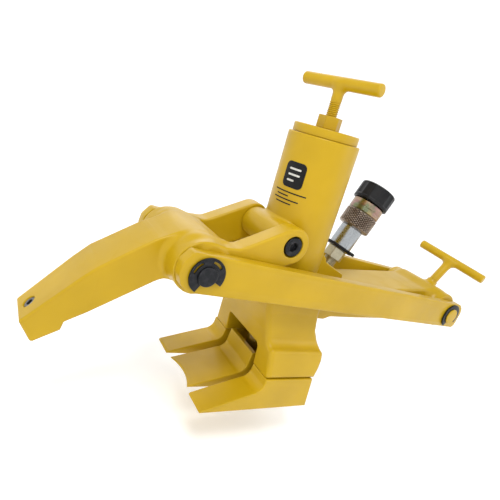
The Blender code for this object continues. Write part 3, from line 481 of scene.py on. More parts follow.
def enamel():
    """Thick yellow enamel over a casting: soft orange peel, faint cloudiness, painted highlight on edges,
    painted shade in creases.
    """
    m = Nodes("yellow_enamel")
    colour = (0.505, 0.316, 0.004)
    cloud = m.noise(14, 3, 0.55)
    fine = m.noise(160, 2, 0.5)
    base = m.mix(m.ramp(cloud, 0.35, 0.68), tuple(c * 0.86 for c in colour), colour)
    point = m.node("ShaderNodeNewGeometry").outputs["Pointiness"]
    # Painted highlight: sharp convex edges are painted paler, broken up by fine noise.
    painted_edge_highlight = m.math("MULTIPLY", m.ramp(point, 0.53, 0.60), m.ramp(fine, 0.42, 0.62, 0.0, 0.35))
    base = m.mix(painted_edge_highlight, base, (0.66, 0.46, 0.12))
    # Painted shade: hollows and creases are painted darker, more so in cloudy patches.
    painted_crease_shade = m.math("MULTIPLY", m.ramp(point, 0.47, 0.40), m.ramp(cloud, 0.3, 0.6, 0.1, 0.4))
    base = m.mix(painted_crease_shade, base, (0.22, 0.125, 0.014))
    m.set(Base_Color=base, Roughness=m.ramp(m.noise(45, 4), 0.3, 0.7, 0.32, 0.44), Specular_IOR_Level=0.26,
          Coat_Weight=0.08, Coat_Roughness=0.20)
    peel = m.math("ADD", m.math("MULTIPLY", m.noise(900, 2), 0.35), m.math("MULTIPLY", m.noise(120, 3), 0.65))
    m.bump(peel, 0.10, 0.0006)
    return m.material


def black_oxide():
    """Blackened steel with cloudy spots."""
    m = Nodes("black_oxide_finish")
    spots = m.noise(260, 4, 0.65)
    base = m.mix(m.ramp(spots, 0.45, 0.75), (0.009, 0.010, 0.012), (0.030, 0.030, 0.034))
    m.set(Base_Color=base, Metallic=0.65, Roughness=m.ramp(spots, 0.3, 0.7, 0.30, 0.48))
    m.bump(m.noise(700, 3), 0.15, 0.0002)
    return m.material


def bare_steel(name, colour, rough, stretch, tint=None):
    """Machined or plated steel with fine turning marks, and a second tint in patches where given."""
    m = Nodes(name)
    scaled = m.node("ShaderNodeMapping", {"Vector": m.coordinates, "Scale": stretch}).outputs["Vector"]
    marks = m.noise(12, 4, 0.6, scaled)
    base = m.mix(m.ramp(marks, 0.3, 0.7), tuple(c * 0.78 for c in colour), colour)
    if tint:
        base = m.mix(m.ramp(m.noise(42, 2, 0.4), 0.42, 0.6), base, tint)
    m.set(Base_Color=base, Metallic=1.0, Roughness=m.ramp(marks, 0.3, 0.7, rough, rough + 0.12))
    m.bump(marks, 0.12, 0.0001)
    return m.material


def passivated():
    """Yellow-passivated zinc: gold with rosy and green patches."""
    m = Nodes("passivated_finish")
    patch = m.noise(55, 3, 0.5)
    base = m.mix(m.ramp(patch, 0.38, 0.56), (0.38, 0.31, 0.15), (0.36, 0.22, 0.20))
    base = m.mix(m.ramp(m.noise(80, 3, 0.5), 0.50, 0.62), base, (0.20, 0.22, 0.13))
    base = m.mix(m.ramp(m.noise(33, 2, 0.5), 0.55, 0.70), base, (0.13, 0.11, 0.12))
    m.set(Base_Color=base, Metallic=1.0, Roughness=m.ramp(patch, 0.3, 0.7, 0.22, 0.34))
    m.bump(m.noise(500, 3), 0.08, 0.0002)
    return m.material


def knurl_finish():
    """Brown-grey plating over a knurl, stained in patches, with painted shade that makes the grooves nearly
    black.
    """
    m = Nodes("knurled_zinc_finish")
    point = m.node("ShaderNodeNewGeometry").outputs["Pointiness"]
    stain = m.noise(70, 3, 0.6)
    ridge = m.mix(m.ramp(stain, 0.35, 0.65), (0.42, 0.35, 0.29), (0.28, 0.21, 0.16))
    # Painted shade: the grooves, where pointiness is low, are painted nearly black.
    base = m.mix(m.ramp(point, 0.44, 0.53), (0.030, 0.022, 0.018), ridge)
    m.set(Base_Color=base, Metallic=0.9, Roughness=m.ramp(stain, 0.3, 0.7, 0.34, 0.48))
    m.bump(m.noise(600, 3), 0.1, 0.0002)
    return m.material


def black_polymer(name, rough):
    """Black rubber or plastic with a fine grain."""
    m = Nodes(name)
    grain = m.noise(600, 3, 0.6)
    base = m.mix(m.ramp(m.noise(40, 3), 0.4, 0.7), (0.005, 0.005, 0.006), (0.012, 0.012, 0.013))
    m.set(Base_Color=base, Roughness=m.ramp(grain, 0.3, 0.7, rough - 0.06, rough + 0.1),
          Specular_IOR_Level=0.22)
    m.bump(grain, 0.12, 0.0002)
    return m.material


def label_white():
    """Pale print."""
    m = Nodes("label_white")
    base = m.mix(m.ramp(m.noise(90, 3), 0.4, 0.65), (0.50, 0.49, 0.45), (0.62, 0.61, 0.57))
    m.set(Base_Color=base, Roughness=0.5)
    return m.material


# Finishes: a material and its slot. The spring steel is used for two slots.
paint = (enamel(), "yellow_paint")
oxide = (black_oxide(), "black_oxide")
steel = (bare_steel("machined_steel", (0.44, 0.45, 0.47), 0.26, (4, 4, 120)), "plain_steel")
chrome = (bare_steel("polished_rod", (0.74, 0.74, 0.76), 0.08, (3, 3, 60)), "chrome_rod")
bronze = (bare_steel("bush_bronze", (0.46, 0.31, 0.14), 0.3, (40, 40, 40)), "bronze")
zinc = (bare_steel("pale_zinc", (0.50, 0.46, 0.33), 0.28, (30, 30, 30), (0.44, 0.38, 0.22)), "yellow_zinc")
silver = (bare_steel("bright_zinc", (0.42, 0.44, 0.455), 0.20, (140, 140, 3)), "plain_steel")
spring_steel = bare_steel("spring_steel_finish", (0.20, 0.20, 0.21), 0.34, (60, 60, 60))
knurled = (knurl_finish(), "knurled_zinc")
gold = (passivated(), "passivated_zinc")
rubber = (black_polymer("black_rubber", 0.5), "rubber")
plastic = (black_polymer("black_plastic_finish", 0.42), "black_plastic")
print_black = (black_polymer("label_black", 0.5), "black_plastic")
print_white = (label_white(), "black_plastic")


# -------------------------------- clamp arm

def clamp_arm():
    """The casting from its forked, rounded hub to the bent arm with the rim grip at its tip."""
    f = Field((-240, -52, 38), (-6, 52, 202), 0.8)
    arm = f.outline(rounded([(-110, 165), (-134, 161, 25), (-151, 151, 40), (-189, 119.8, 10),
                             (-200.5, 106.5, 8), (-234.6, 62.2, 2.2), (-222.6, 44.4, 2.2),
                             (-203.6, 58.4, 1.5), (-202.6, 66, 2), (-134, 117.5, 25), (-110, 117.5)]))
    half_width = 23.5 - 5 * np.clip((-188 - f.x) / 46, 0, 1)
    arm = block(arm, slab(f.y, half_width), 1.8)
    hub = block(f.rod(LINK_PIVOT, 24), slab(f.y, LINK_INSIDE - 1), 1.4)
    lx, lz = LINK_PIVOT
    ax, az = ARM_PIVOT
    cheek = f.outline(rounded([(lx - 6, lz - 20), (lx - 4, 163.5, 10), (-97, 163.3, 18), (-84, 164.6, 14)]
                              + circle(ARM_PIVOT, 18.6, 22, 117, -73)
                              + [(-60, 139.5, 40), (-88, 126), (lx, lz - 22)]))
    cheek = block(cheek, slab(np.abs(f.y), 9.35, 37.65), 2.2)
    web = f.outline(rounded([(lx - 14, lz - 14), (lx - 12, 164.2, 8), (-93.5, 164.0, 3), (-91.2, 158, 6),
                             (-92, lz - 6, 8), (-100, lz - 18)]))
    body = blend(hub, block(web, slab(f.y, 33), 2), 9)
    body = blend(body, arm, 6.5)
    body = blend(body, cheek, 5)
    for swing in (0, 4.3, 8.6):
        turn = placed_at((ax, 0, az), radians(-swing)) @ Matrix.Translation((-ax, 0, -az)) @ RAM
        body = carve(body, f.shaft(turn, BARREL_RADIUS + 1), 1.2)
    body = carve(body, f.rod(LINK_PIVOT, 12.3), 0.8)
    body = carve(body, f.rod(ARM_PIVOT, 9.3), 0.6)
    body = carve(body, block(f.rod(ARM_PIVOT, 10.8), 40.6 - np.abs(f.y), 0.3), 0.7)
    body = carve(body, f.shaft(GRIP_SCREW, 5.3), 0.8)
    add("clamp_arm_casting", f.mesh(body, 0.16), "arm", ["clamp_arm"], paint)


# -------------------------------- foot

def claw_block():
    """The split sole: two prongs either side of the push foot's slot, with four counterbored holes."""
    f = Field((-74, -66, -2), (74, 66, 39), 0.6)
    outline = f.outline([(-70.6, 0), (-68.8, 2.3), (-38, 12.6), (-14.5, 20.2)]
                        + circle((-15.5, 31.6), 11.4, 10, -80, -10) + [(-4.2, 37.2), (62.7, 37.2), (71.2, 0)])
    body = block(outline, slab(f.y, 62.5), 0.9)
    body = carve(body, block(f.local(RAM)[0] - SLOT_END, slab(f.y, 34), 4), 0.9)
    for x, y in CLAW_BOLTS:
        around = norm(f.x - x, f.y - y)
        body = carve(body, around - BOLT_HOLE, 0.5)
        body = carve(body, block(around - BOLT_HEAD_HOLE, f.z - 10.5, 0.2), 0.5)
    add("claw_casting", f.mesh(body, 0.14), "cylinder", ["claw_block"], paint)


def foot_housing():
    """The block between the claw and the barrel, hollow for the push foot and bored for the rod's gland."""
    f = Field((-30, -66, 35), (72, 66, 134), 0.7)
    x, y, z = f.local(RAM)
    side = f.outline(rounded([(-4.2, CLAW_TOP), (-10.8, 70, 14), (-13.8, 82, 12), (-21, 104),
                              along_ram(-38.2, FOOT_TOP), along_ram(36.8, FOOT_TOP),
                              (*along_ram(36.8, 84), 6), (66, 71.5, 6), (68.6, 60, 8), (68.2, 50, 8),
                              (65.2, CLAW_TOP)]))
    half = ([(62.5, 20), (62.5, 41, 8), (58.6, 69.4, 4.5)] + circle((57.5, 81), 11, 10, -100, -178)
            + [(41.2, 104, 20), (38.6, 140)])
    front = f.outline(rounded(half + [(-c[0], *c[1:]) for c in reversed(half)]), f.y, f.z)
    body = block(side, front, 5.5)
    body = block(body, CLAW_TOP - f.z, 0.5)
    body = block(body, z - FOOT_TOP, 0.4)
    cavity = f.outline(rounded([(-80, -20), (-80, 67), (-25, 67), (14, 62, 6), (SLOT_END, 55, 6),
                                (SLOT_END, -20)]), x, z)
    body = carve(body, block(cavity, slab(f.y, 33), 5), 1.4)
    around = norm(x, y)
    body = carve(body, around - 19.2, 0.6)
    body = carve(body, block(around - 24.3, 100 - z, 0.2), 0.4)
    body = carve(body, block(around - BARREL_BORE, 113.7 - z, 0.2), 0.3)
    for x, y in CLAW_BOLTS:
        body = carve(body, block(norm(f.x - x, f.y - y) - BOLT_HOLE, f.z - 59.5, 0.3), 0.4)
    add("foot_casting", f.mesh(body, 0.16), "cylinder", ["foot_housing"], paint)


def push_foot():
    """The tongue in the claw's slot, with a hollow in its lip and a stepped bore for the rod's end."""
    f = Field((-73, -28, -1), (54, 28, 47), 0.55)
    x, y, z = f.local(RAM)
    outline = f.outline(rounded([(-69.5, 0.6), (-68.2, 1.8), (-38, 10.4), (-13.5, 17.8)]
                                + circle((-14.5, 29.2), 11.4, 10, -80, -10)
                                + [(-3.2, 44, 0.8), (3, 44, 0.8), (5.6, 30.6, 4),
                                   (along_ram(20, 30.2)[0], 30.2, 1), (along_ram(20, 4)[0], 0.6)]))
    body = block(outline, slab(f.y, 25.5), 0.8)
    chord, depth = 26.5, 7
    radius = (chord ** 2 + depth ** 2) / (2 * depth)
    body = carve(body, norm(f.x - (-69.5 + depth - radius), f.y) - radius, 0.5)
    around = norm(x, y)
    body = carve(body, block(around - 14.3, 17.7 - z, 0.2), 0.3)
    body = carve(body, block(around - 18.3, 25.7 - z, 0.2), 0.3)
    body = carve(body, around - BOLT_HOLE, 0.3)
    body = carve(body, block(around - BOLT_HEAD_HOLE, z - 13, 0.2), 0.4)
    add("push_foot_casting", f.mesh(body, 0.16), "ram", ["push_foot"], paint)


# -------------------------------- lever and lug

def rear_lever():
    """The forked lever from its pin in the rear lug to its hub, with a boss for the handle."""
    f = Field((54, -50, 90), (306, 50, 176), 0.8)
    rx, rz = REAR_PIVOT
    web = f.outline(rounded([(59.8, 104, 5), (61, 95.6, 6), (76, 95.6, 10), (84, 99.8, 14), (119, 101.5, 60),
                             (250, 110), (rx, rz - 18), (rx, rz + 18), (266, 160.4, 10), (84, 137.4, 10),
                             (60.4, 134.2, 5)]))
    hub = block(f.rod(REAR_PIVOT, 24.5), slab(f.y, LINK_INSIDE - 0.6), 2.6)
    body = blend(block(web, slab(f.y, 30), 3), hub, 14)
    x, y, z = f.local(HANDLE)
    boss = block(norm(x, y) - 7.4, slab(z, 9, 24), 0.5)
    body = blend(body, boss, 7)
    body = carve(body, block(slab(f.y, 14.6), f.x - 104, 4), 1.2)
    body = carve(body, f.rod(REAR_PIVOT, 12.2), 0.6)
    body = carve(body, f.rod(LEVER_PIVOT, 6.1), 0.5)
    add("lever_casting", f.mesh(body, 0.16), "lever", ["rear_lever"], paint)


def rear_lug():
    """The lug on the barrel's back that holds the lever's pin and the coupler's seat."""
    f = Field((40, -18, 98), (106, 18, 176), 0.6)
    x, y, z = f.local(RAM)
    pin_x, pin_z = LEVER_PIVOT[0] - AXIS_X, LEVER_PIVOT[1]
    eye = (pin_x * cos(TILT) + pin_z * sin(TILT), -pin_x * sin(TILT) + pin_z * cos(TILT))
    outline = f.outline(rounded([(30, 168), (37.5, 166), (44, 161, 4), (47, 155.5, 3), (80, 140.5, 2.5),
                                 (81.5, 131, 3)] + circle(eye, 12.5, 12, 10, -140)
                                + [(39, 121, 2), (39, 129), (30, 129)]), x, z)
    body = block(outline, slab(f.y, 14), 1.2)
    body = np.maximum(body, (BARREL_RADIUS + 0.15) - norm(x, y))
    body = carve(body, f.rod(LEVER_PIVOT, 6.1), 0.4)
    x, y, z = f.local(COUPLER)
    body = carve(body, block(norm(x, y) - 8.3, -9 - z, 0.2), 0.5)
    add("rear_lug_block", f.mesh(body, 0.2), "cylinder", ["rear_lug"], paint)


clamp_arm()
claw_block()
foot_housing()
push_foot()
rear_lever()
rear_lug()


# -------------------------------- surfaces from a radius

def wound(radius_at, heights, matrix, sides, angle, core=0.0):
    """A closed piece round a frame's Z axis whose radius follows radius_at(angle, height)."""
    angles = np.linspace(0, 2 * pi, sides, endpoint=False)
    bm = bmesh.new()
    rings = [ring(bm, radius_at(angles, height), height, angles) for height in heights]
    bridge(bm, *rings)
    if core:
        inner = [ring(bm, core, heights[end], angles) for end in (0, -1)]
        for first, last in ((inner[0], rings[0]), (inner[1], rings[-1]), inner):
            bridge(bm, first, last)
    else:
        bm.faces.new(rings[0])
        bm.faces.new(rings[-1])
    return from_bmesh(bm, matrix, angle)


def chamfered(height, low, high, size):
    """How far a radius is drawn in near the two ends."""
    return np.maximum(0, size - np.minimum(height - low, high - height))


def thread_radius(crest, pitch, depth, low, high):
    """The radius of a screw thread by angle and height, drawn in by a chamfer near low and high."""
    flank = 3.2

    def radius_at(theta, height):
        phase = (height / pitch - theta / (2 * pi)) % 1
        groove = np.clip(1 - np.abs(phase - 0.5) * flank, 0, 1)
        return crest - depth * groove - chamfered(height, low, high, 1.0) * 0.8
    return radius_at


def hexagon(u, v, half):
    """Distance to a hexagon with its flats at half from the middle."""
    return np.maximum.reduce([abs(u * cos(radians(a)) + v * sin(radians(a))) - half for a in (0, 60, 120)])


def hex_bar(f, across, low, high):
    """A hexagonal prism along Z with its corners turned off at both ends."""
    chamfer = 2.2
    ends = slab(f.z, (high - low) / 2, (high + low) / 2)
    cone = (norm(f.x, f.y) - across / 2 + ends * 1.7 - chamfer) / 2
    return block(block(hexagon(f.x, f.y, across / 2), ends, 0.35), cone, 0.3)


# -------------------------------- barrel and its top

def barrel():
    """The barrel and the stepped cap in its end."""
    tube = [(BARREL_BORE, BARREL_BOTTOM, 0.5), (BARREL_RADIUS, BARREL_BOTTOM, 0.6),
            (BARREL_RADIUS, BARREL_TOP, 1.4), (BARREL_BORE, BARREL_TOP, 0.5)]
    add("cylinder_tube", turned(tube, RAM, 160, closed=True), "cylinder", ["cylinder_barrel"], paint)
    cap = [(8.4, 270.6, 0.4), (27.2, 270.6, 0.8), (27.2, 284.9, 0.3), (33.2, 284.9, 0.4), (33.2, 293.4, 1.1),
           (8.4, 293.4, 0.4)]
    add("top_cap", turned(cap, RAM, 144, closed=True), "cylinder", ["barrel_end_cap"], paint)


def hex_nut():
    """The nut on the cap, with the sleeve that reaches down through it."""
    f = Field((-14, -14, 268), (14, 14, 308), 0.4, RAM)
    head = hex_bar(f, 21, 293.7, 305.8)
    around = norm(f.x, f.y)
    sleeve = block(around - 8, slab(f.z, 12.4, 282.6), 0.5)
    body = carve(np.minimum(head, sleeve), around - 5.8, 0.4)
    add("hex_nut", f.mesh(body, 0.3), "cylinder", ["hex_bushing"], paint)


def top_handle():
    """The screw with its thread, and the bar welded across it."""
    radius_at = thread_radius(5.5, 1.75, 0.95, 261, 330)
    thread = wound(radius_at, np.arange(261, 320.01, 0.16), RAM, 64, 50)
    add("top_screw_thread", thread, "top_screw", ["clamp_screw"], paint)
    f = Field((-48, -48, 316), (48, 48, 345), 0.7, RAM)
    x, y, z = f.local(RAM @ Matrix.Rotation(radians(105), 4, "Z"))
    root = 0.55 * np.clip((322 - f.z) / 4, 0, 1)
    stem = block(norm(f.x, f.y) - 5.5 + root, slab(f.z, 9.2, 327.7), 0.4)
    bar = block(norm(y, z - 337.3) - BAR_RADIUS, slab(x, 44.6), 1.5)
    add("top_cross_bar", f.mesh(blend(stem, bar, 5), 0.22), "top_screw", ["clamp_screw_bar"], paint)


def cross_tube():
    """The tube through the yoke, scarfed and welded on the barrel's front."""
    ax, az = ARM_PIVOT
    f = Field((ax - 22, -30, az - 24), (ax + 26, 30, az + 24), 0.7)
    around = f.shaft(RAM, 0)
    tube = block(f.rod(ARM_PIVOT, 15.8), slab(f.y, 28), 1.2)
    shell = np.maximum(np.maximum(around - 36.3, 33 - around), f.rod(ARM_PIVOT, 21.5))
    body = np.maximum(blend(tube, shell, 4.5), 33 - around)
    bore = block(f.rod(ARM_PIVOT, 6.3), 13 - abs(f.y), 0.3)
    add("cross_tube", f.mesh(carve(body, bore, 0.4), 0.25), "cylinder", ["trunnion_tube"], paint)


# -------------------------------- bolts, pins and rings

def shoulder_bolts():
    """Socket-head bolts in the yoke's two cheeks."""
    for name, side in SIDES:
        stand = cross_frame(ARM_PIVOT) @ Matrix.Rotation(pi if side < 0 else 0, 4, "X")
        f = Field((-10, -10, 12), (10, 10, 48.4), 0.4, stand)
        around = norm(f.x, f.y)
        head = block(around - 9.6, slab(f.z, 3.2, 44.2), 0.9)
        shank = block(around - 6, slab(f.z, 15, 28.5), 0.8)
        socket = block(hexagon(f.x, f.y, 4), 43.5 - f.z, 0.2)
        cone = (around - 4.4 - (f.z - 46.9)) * 0.7
        body = carve(carve(np.minimum(head, shank), socket, 0.25), cone, 0.2)
        add(f"yoke_bolt_{name}", f.mesh(body, 0.3), "cylinder", [f"trunnion_bolt_{name}"], oxide)


def set_screw():
    """The socket set screw in the arm's tip."""
    f = Field((-6, -6, -0.2), (6, 6, 28), 0.35, GRIP_SCREW)
    body = block(norm(f.x, f.y) - 5, slab(f.z, 13.3, 13.7), 0.7)
    socket = np.maximum(hexagon(f.x, f.y, 2.5), f.z - 7)
    mesh = f.mesh(carve(body, socket, 0.2), 0.3)
    add("grip_set_screw", mesh, "grip_screw", ["arm_set_screw"], (spring_steel, "black_oxide"))


def pins():
    """The links' two grooved pins, and the lever's pin with its two clips."""
    end, groove_end, groove_start = 64, 62.5, 60.3
    for name, pivot, radius, groove, finish in (("link_pin", LINK_PIVOT, 9, 7.4, oxide),
                                                ("rear_pin", REAR_PIVOT, 10.6, 9.6, paint)):
        half = [(0, end), (radius, end, 1.2), (radius, groove_end, 0.1), (groove, groove_end),
                (groove, groove_start), (radius, groove_start, 0.1)]
        profile = half + [(r[0], -r[1], *r[2:]) for r in reversed(half)]
        add(f"{name}_turned", turned(profile, cross_frame(pivot), 72), "side_links", [name], finish)
    radius, end = 6, 34
    pin = [(0, end), (radius, end, 0.9), (radius, -end, 0.9), (0, -end)]
    add("lever_pin_turned", turned(pin, cross_frame(LEVER_PIVOT), 64), "cylinder", ["lever_pin"], steel)
    for name, side in SIDES:
        low, high = sorted((side * 30.5, side * 32))
        clip = [(6.15, low), (10, low, 0.3), (10, high, 0.3), (6.15, high)]
        add(f"lever_clip_{name}", turned(clip, cross_frame(LEVER_PIVOT), 64, closed=True), "cylinder",
            [f"lever_pin_clip_{name}"], oxide)


def open_ring(pivot, outer, inner, start, end, steps=59):
    """Outline of part of a flat ring, from one angle to another."""
    return circle(pivot, outer, steps, start, end) + circle(pivot, inner, steps, end, start)


def retaining_rings():
    """The snap rings in the links' pins. Those of the front pin have two curved slots."""
    link = open_ring(LINK_PIVOT, 16.4, 7.8, -26, 246)
    slots = [open_ring(LINK_PIVOT, 13.9, 11.9, *ends, 13) for ends in ((39, 85), (126, 175))]
    rear = open_ring(REAR_PIVOT, 16.8, 10, -30, 248)
    for name, side in SIDES:
        low, high = sorted((side * 60.6, side * 62.2))
        for which, outline, holes in (("link", link, slots), ("rear", rear, ())):
            add(f"{which}_ring_{name}", plate(outline, low, high, 0.3, holes, steps=2), "side_links",
                [f"{which}_pin_ring_{name}"], oxide)


def links():
    """The two side plates between the arm's hub and the rear lever."""
    x, z = LINK_PIVOT
    along, rise = REAR_PIVOT[0] - x, REAR_PIVOT[1] - z
    run, lean = hypot(along, rise), atan2(rise, along)
    half = 17.6
    local = [(-10, -half, 6), (run + 21, -half, 3), (run + 25.2, -13.4, 3), (run + 25.6, 6, 4),
             (run + 22, 13, 5), (run + 15.5, half, 5), (-17, half, 4), (-23.4, 7.5, 6), (-23.8, -3, 9),
             (-19, -12.5, 8)]
    outline = [(x + s * cos(lean) - t * sin(lean), z + s * sin(lean) + t * cos(lean))
               for s, t in rounded(local)]
    holes = [circle(LINK_PIVOT, 9.3), circle(REAR_PIVOT, 10.9)]
    for name, side in SIDES:
        low, high = sorted((side * LINK_INSIDE, side * LINK_OUTSIDE))
        add(f"side_link_{name}", plate(outline, low, high, 1.1, holes), "side_links", [f"{name}_link"], paint)


# -------------------------------- rear handle

def rear_handle():
    """The stem with the bar welded across its end."""
    f = Field((-54, -54, 29), (54, 54, 82), 0.8, HANDLE)
    x, y, z = f.local(HANDLE @ Matrix.Rotation(radians(103), 4, "Z"))
    flare = 2.5 * np.clip((f.z - 58) / 12, 0, 1) ** 2
    stem = block(norm(f.x, f.y) - BAR_RADIUS - flare, slab(f.z, 19, 52.3), 0.4)
    bar = block(norm(y, z - 74) - BAR_RADIUS, slab(x, 51), 1.6)
    mesh = f.mesh(blend(stem, bar, 5), 0.22)
    add("rear_tee_handle", mesh, "lever", ["rear_handle_stem", "rear_handle_bar"], paint)


# -------------------------------- rod and hose coupler

def rod():
    """The ram's polished rod, stepped where it enters the push foot."""
    profile = [(0, 18), (14, 18, 0.4), (14, 25.8, 0.2), (18, 25.8, 1), (18, 160, 1), (0, 160)]
    add("polished_ram_rod", turned(profile, RAM, 128), "ram", ["ram_rod"], chrome)


def return_spring():
    """Coil round the rod with closed ends."""
    low, high, radius, wire, coils, steps = 140.8, 223.2, 23, 2.2, 7, 48
    end_turn = 0.9
    closed = 2 * wire * end_turn / (high - low)
    curve = bpy.data.curves.new("spring", "CURVE")
    curve.dimensions = "3D"
    curve.bevel_depth = wire
    curve.bevel_resolution = 3
    curve.use_fill_caps = True
    spline = curve.splines.new("POLY")
    spline.points.add(coils * steps)
    for i, point in enumerate(spline.points):
        angle = 2 * pi * i / steps
        share = np.interp(i / steps, (0, end_turn, coils - end_turn, coils), (0, closed, 1 - closed, 1))
        point.co = (radius * cos(angle), radius * sin(angle), low + (high - low) * share, 1)
    bm = bmesh.new()
    bm.from_mesh(evaluated(curve))
    bmesh.ops.remove_doubles(bm, verts=bm.verts, dist=0.001)
    coil = add("coil_spring", from_bmesh(bm, RAM, 40), "cylinder", ["return_spring"],
               (spring_steel, "plain_steel"))
    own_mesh(coil)


def coupler():
    """The hose coupler: nipple, shell, strap, sleeve, band and cap."""
    f = Field((-16, -16, 7), (16, 16, 24), 0.4, COUPLER)
    add("nipple_hex", f.mesh(hex_bar(f, 20.8, 9, 22), 0.3), "cylinder", ["coupler_nipple"], zinc)
    thread = wound(thread_radius(7.9, 1.8, 0.9, -8, 20), np.arange(-8, 9.3, 0.16), COUPLER, 72, 50)
    add("nipple_thread", thread, "cylinder", [], zinc)
    shell = [(8, 22.4, 0.3), (12.6, 22.4, 0.5), (13.3, 23.2, 0.4), (13.3, 51, 0.6), (12.6, 51, 0.3),
             (12.6, 96, 0.8), (8, 96, 0.5)]
    add("coupler_shell", turned(shell, COUPLER, 112, closed=True), "cylinder", ["coupler_body"], silver)
    strap()
    sleeve()
    band = [(12.9, 71.9), (18, 71.9, 0.4), (18.7, 72.8, 0.4), (18.7, 77.2, 0.3), (18.3, 77.6), (18.3, 78),
            (18.7, 78.4, 0.3), (18.7, 84.2, 0.6), (17.8, 85.2, 0.4), (12.9, 85.2)]
    mesh = turned(band, COUPLER, 112, closed=True)
    add("gold_lock_band", mesh, "coupler_collar", ["coupler_lock_band"], gold)
    cap()


def strap():
    """The cap's strap: a thin ring round the shell with a small loop at its side."""
    f = Field((-19, -27.5, 21.5), (19, 19, 27), 0.35, COUPLER)
    around = norm(f.x, f.y)
    eye = norm(f.x, f.y + 20.3)
    body = block(blend(around - 16.6, eye - 4.6, 4), slab(f.z, 1.7, 24.2), 0.9)
    body = carve(body, around - 13.7, 0.5)
    body = carve(body, eye - 2.1, 0.4)
    add("cap_strap", f.mesh(body, 0.3), "cylinder", ["cap_strap_ring"], rubber)


def sleeve():
    """The coupler's sleeve with its coarse diamond knurl."""
    low, high, radius, starts, lead, depth = 52.4, 71.6, 19.0, 22, 52.0, 1.1

    def radius_at(theta, height):
        first = (starts * (theta / (2 * pi) + height / lead)) % 1
        second = (starts * (theta / (2 * pi) - height / lead)) % 1
        near = np.minimum(np.minimum(first, 1 - first), np.minimum(second, 1 - second))
        groove = 1 - np.clip((near - 0.06) / 0.2, 0, 1)
        fade = np.clip((np.minimum(height - low, high - height) - 1.2) / 0.6, 0, 1)
        return radius - depth * groove * fade - chamfered(height, low, high, 1.2) * 0.9

    mesh = wound(radius_at, np.arange(low, high + 0.01, 0.2), COUPLER, starts * 12, 60, core=12.9)
    add("knurled_sleeve", mesh, "coupler_collar", ["coupler_sleeve"], knurled)


def cap():
    """The dust cap: fourteen shallow scallops round its side, a plain lip below and a closed crown."""
    low, high, outer, inner, flutes, corner = 85.6, 106.0, 21.35, 18.0, 14, 2.4
    angles = np.linspace(0, 2 * pi, flutes * 16, endpoint=False)

    def radius_at(height):
        wave = np.abs(((angles * flutes / (2 * pi)) % 1) - 0.5) * 2
        dent = 0.85 * np.clip(1 - wave ** 2 * 1.3, 0, 1)
        fade = np.clip((height - low - 3.0) / 1.2, 0, 1) * np.clip((high - 1.2 - height) / 1.6, 0, 1)
        edge = np.minimum(height - low, high - height)
        drawn_in = corner - np.sqrt(np.maximum(corner ** 2 - np.clip(corner - edge, 0, corner) ** 2, 0))
        lip = 0.25 * np.clip(1 - (height - low) / 3.2, 0, 1)
        return outer + lip - dent * fade - drawn_in * np.where(height > (low + high) / 2, 1, 0.35)

    heights = [*np.arange(low, 90, 0.25), *np.arange(90, 102.4, 0.6), *np.arange(102.4, high, 0.2), high]
    bore = [(inner - 3, 101), (inner, 101), (inner, low + 0.5), (inner + 0.4, low)]
    crown = [(18.2, high), (17.6, high - 0.25), (16.8, high - 0.6), (6, high - 0.6)]
    bm = bmesh.new()
    rings = [ring(bm, radius, height, angles)
             for radius, height in (*bore, *((radius_at(h), h) for h in heights), *crown)]
    bridge(bm, *rings)
    bm.faces.new(rings[0])
    bm.faces.new(rings[-1])
    add("ribbed_dust_cap", from_bmesh(bm, COUPLER, 40), "cap", ["dust_cap"], plastic)


# -------------------------------- label

def on_barrel(u, v, lift):
    """A point on the barrel: u millimetres round it from its front line, v along it, and lift off it."""
    radius = BARREL_RADIUS + lift
    angle = pi + u / BARREL_RADIUS
    return (radius * cos(angle), radius * sin(angle), v)


def patch(name, u_low, u_high, v_low, v_high, corner, lift, finish):
    """A thin rounded rectangle bent on the barrel's surface."""
    corners = rounded([(u_low, v_low, corner), (u_high, v_low, corner), (u_high, v_high, corner),
                       (u_low, v_high, corner)], 8)
    outline = []
    for (u, v), (u_next, v_next) in zip(corners, corners[1:] + corners[:1]):
        pieces = int(abs(u_next - u) / 1.2) + 1
        outline += [(u + (u_next - u) * k / pieces, v + (v_next - v) * k / pieces) for k in range(pieces)]
    u_mid, v_mid = (u_low + u_high) / 2, (v_low + v_high) / 2
    bm = bmesh.new()
    layers = [[[bm.verts.new(on_barrel(u_mid + (u - u_mid) * scale, v_mid + (v - v_mid) * scale, height))
                for u, v in outline] for scale in (1, 0.85, 0.7, 0.55, 0.4, 0.25, 0.1)]
              for height in (0.02, lift)]
    for layer in layers:
        bridge(bm, *layer)
        bm.faces.new(layer[-1])
    bridge(bm, layers[0][0], layers[1][0])
    add(name, from_bmesh(bm, RAM, 30), "cylinder", [], finish)


def label():
    """A plain dark badge with three pale bars, and four thin dark bars under it. It carries no lettering."""
    badge_lift, bar_lift = 0.22, 0.36
    patch("label_badge", 2, 25, 232.5, 257.5, 5, badge_lift, print_black)
    for k, right in enumerate((20, 20, 15)):
        drop = 5.6 * k
        patch(f"label_bar_{k}", 7, right, 249.8 - drop, 251.6 - drop, 0.8, bar_lift, print_white)
    for k, (left, right) in enumerate(((-5, 32), (-1, 14), (-4, 26), (0, 19))):
        drop = 3.7 * k
        patch(f"label_line_{k}", left, right, 227.2 - drop, 228.4 - drop, 0.5, badge_lift, print_black)


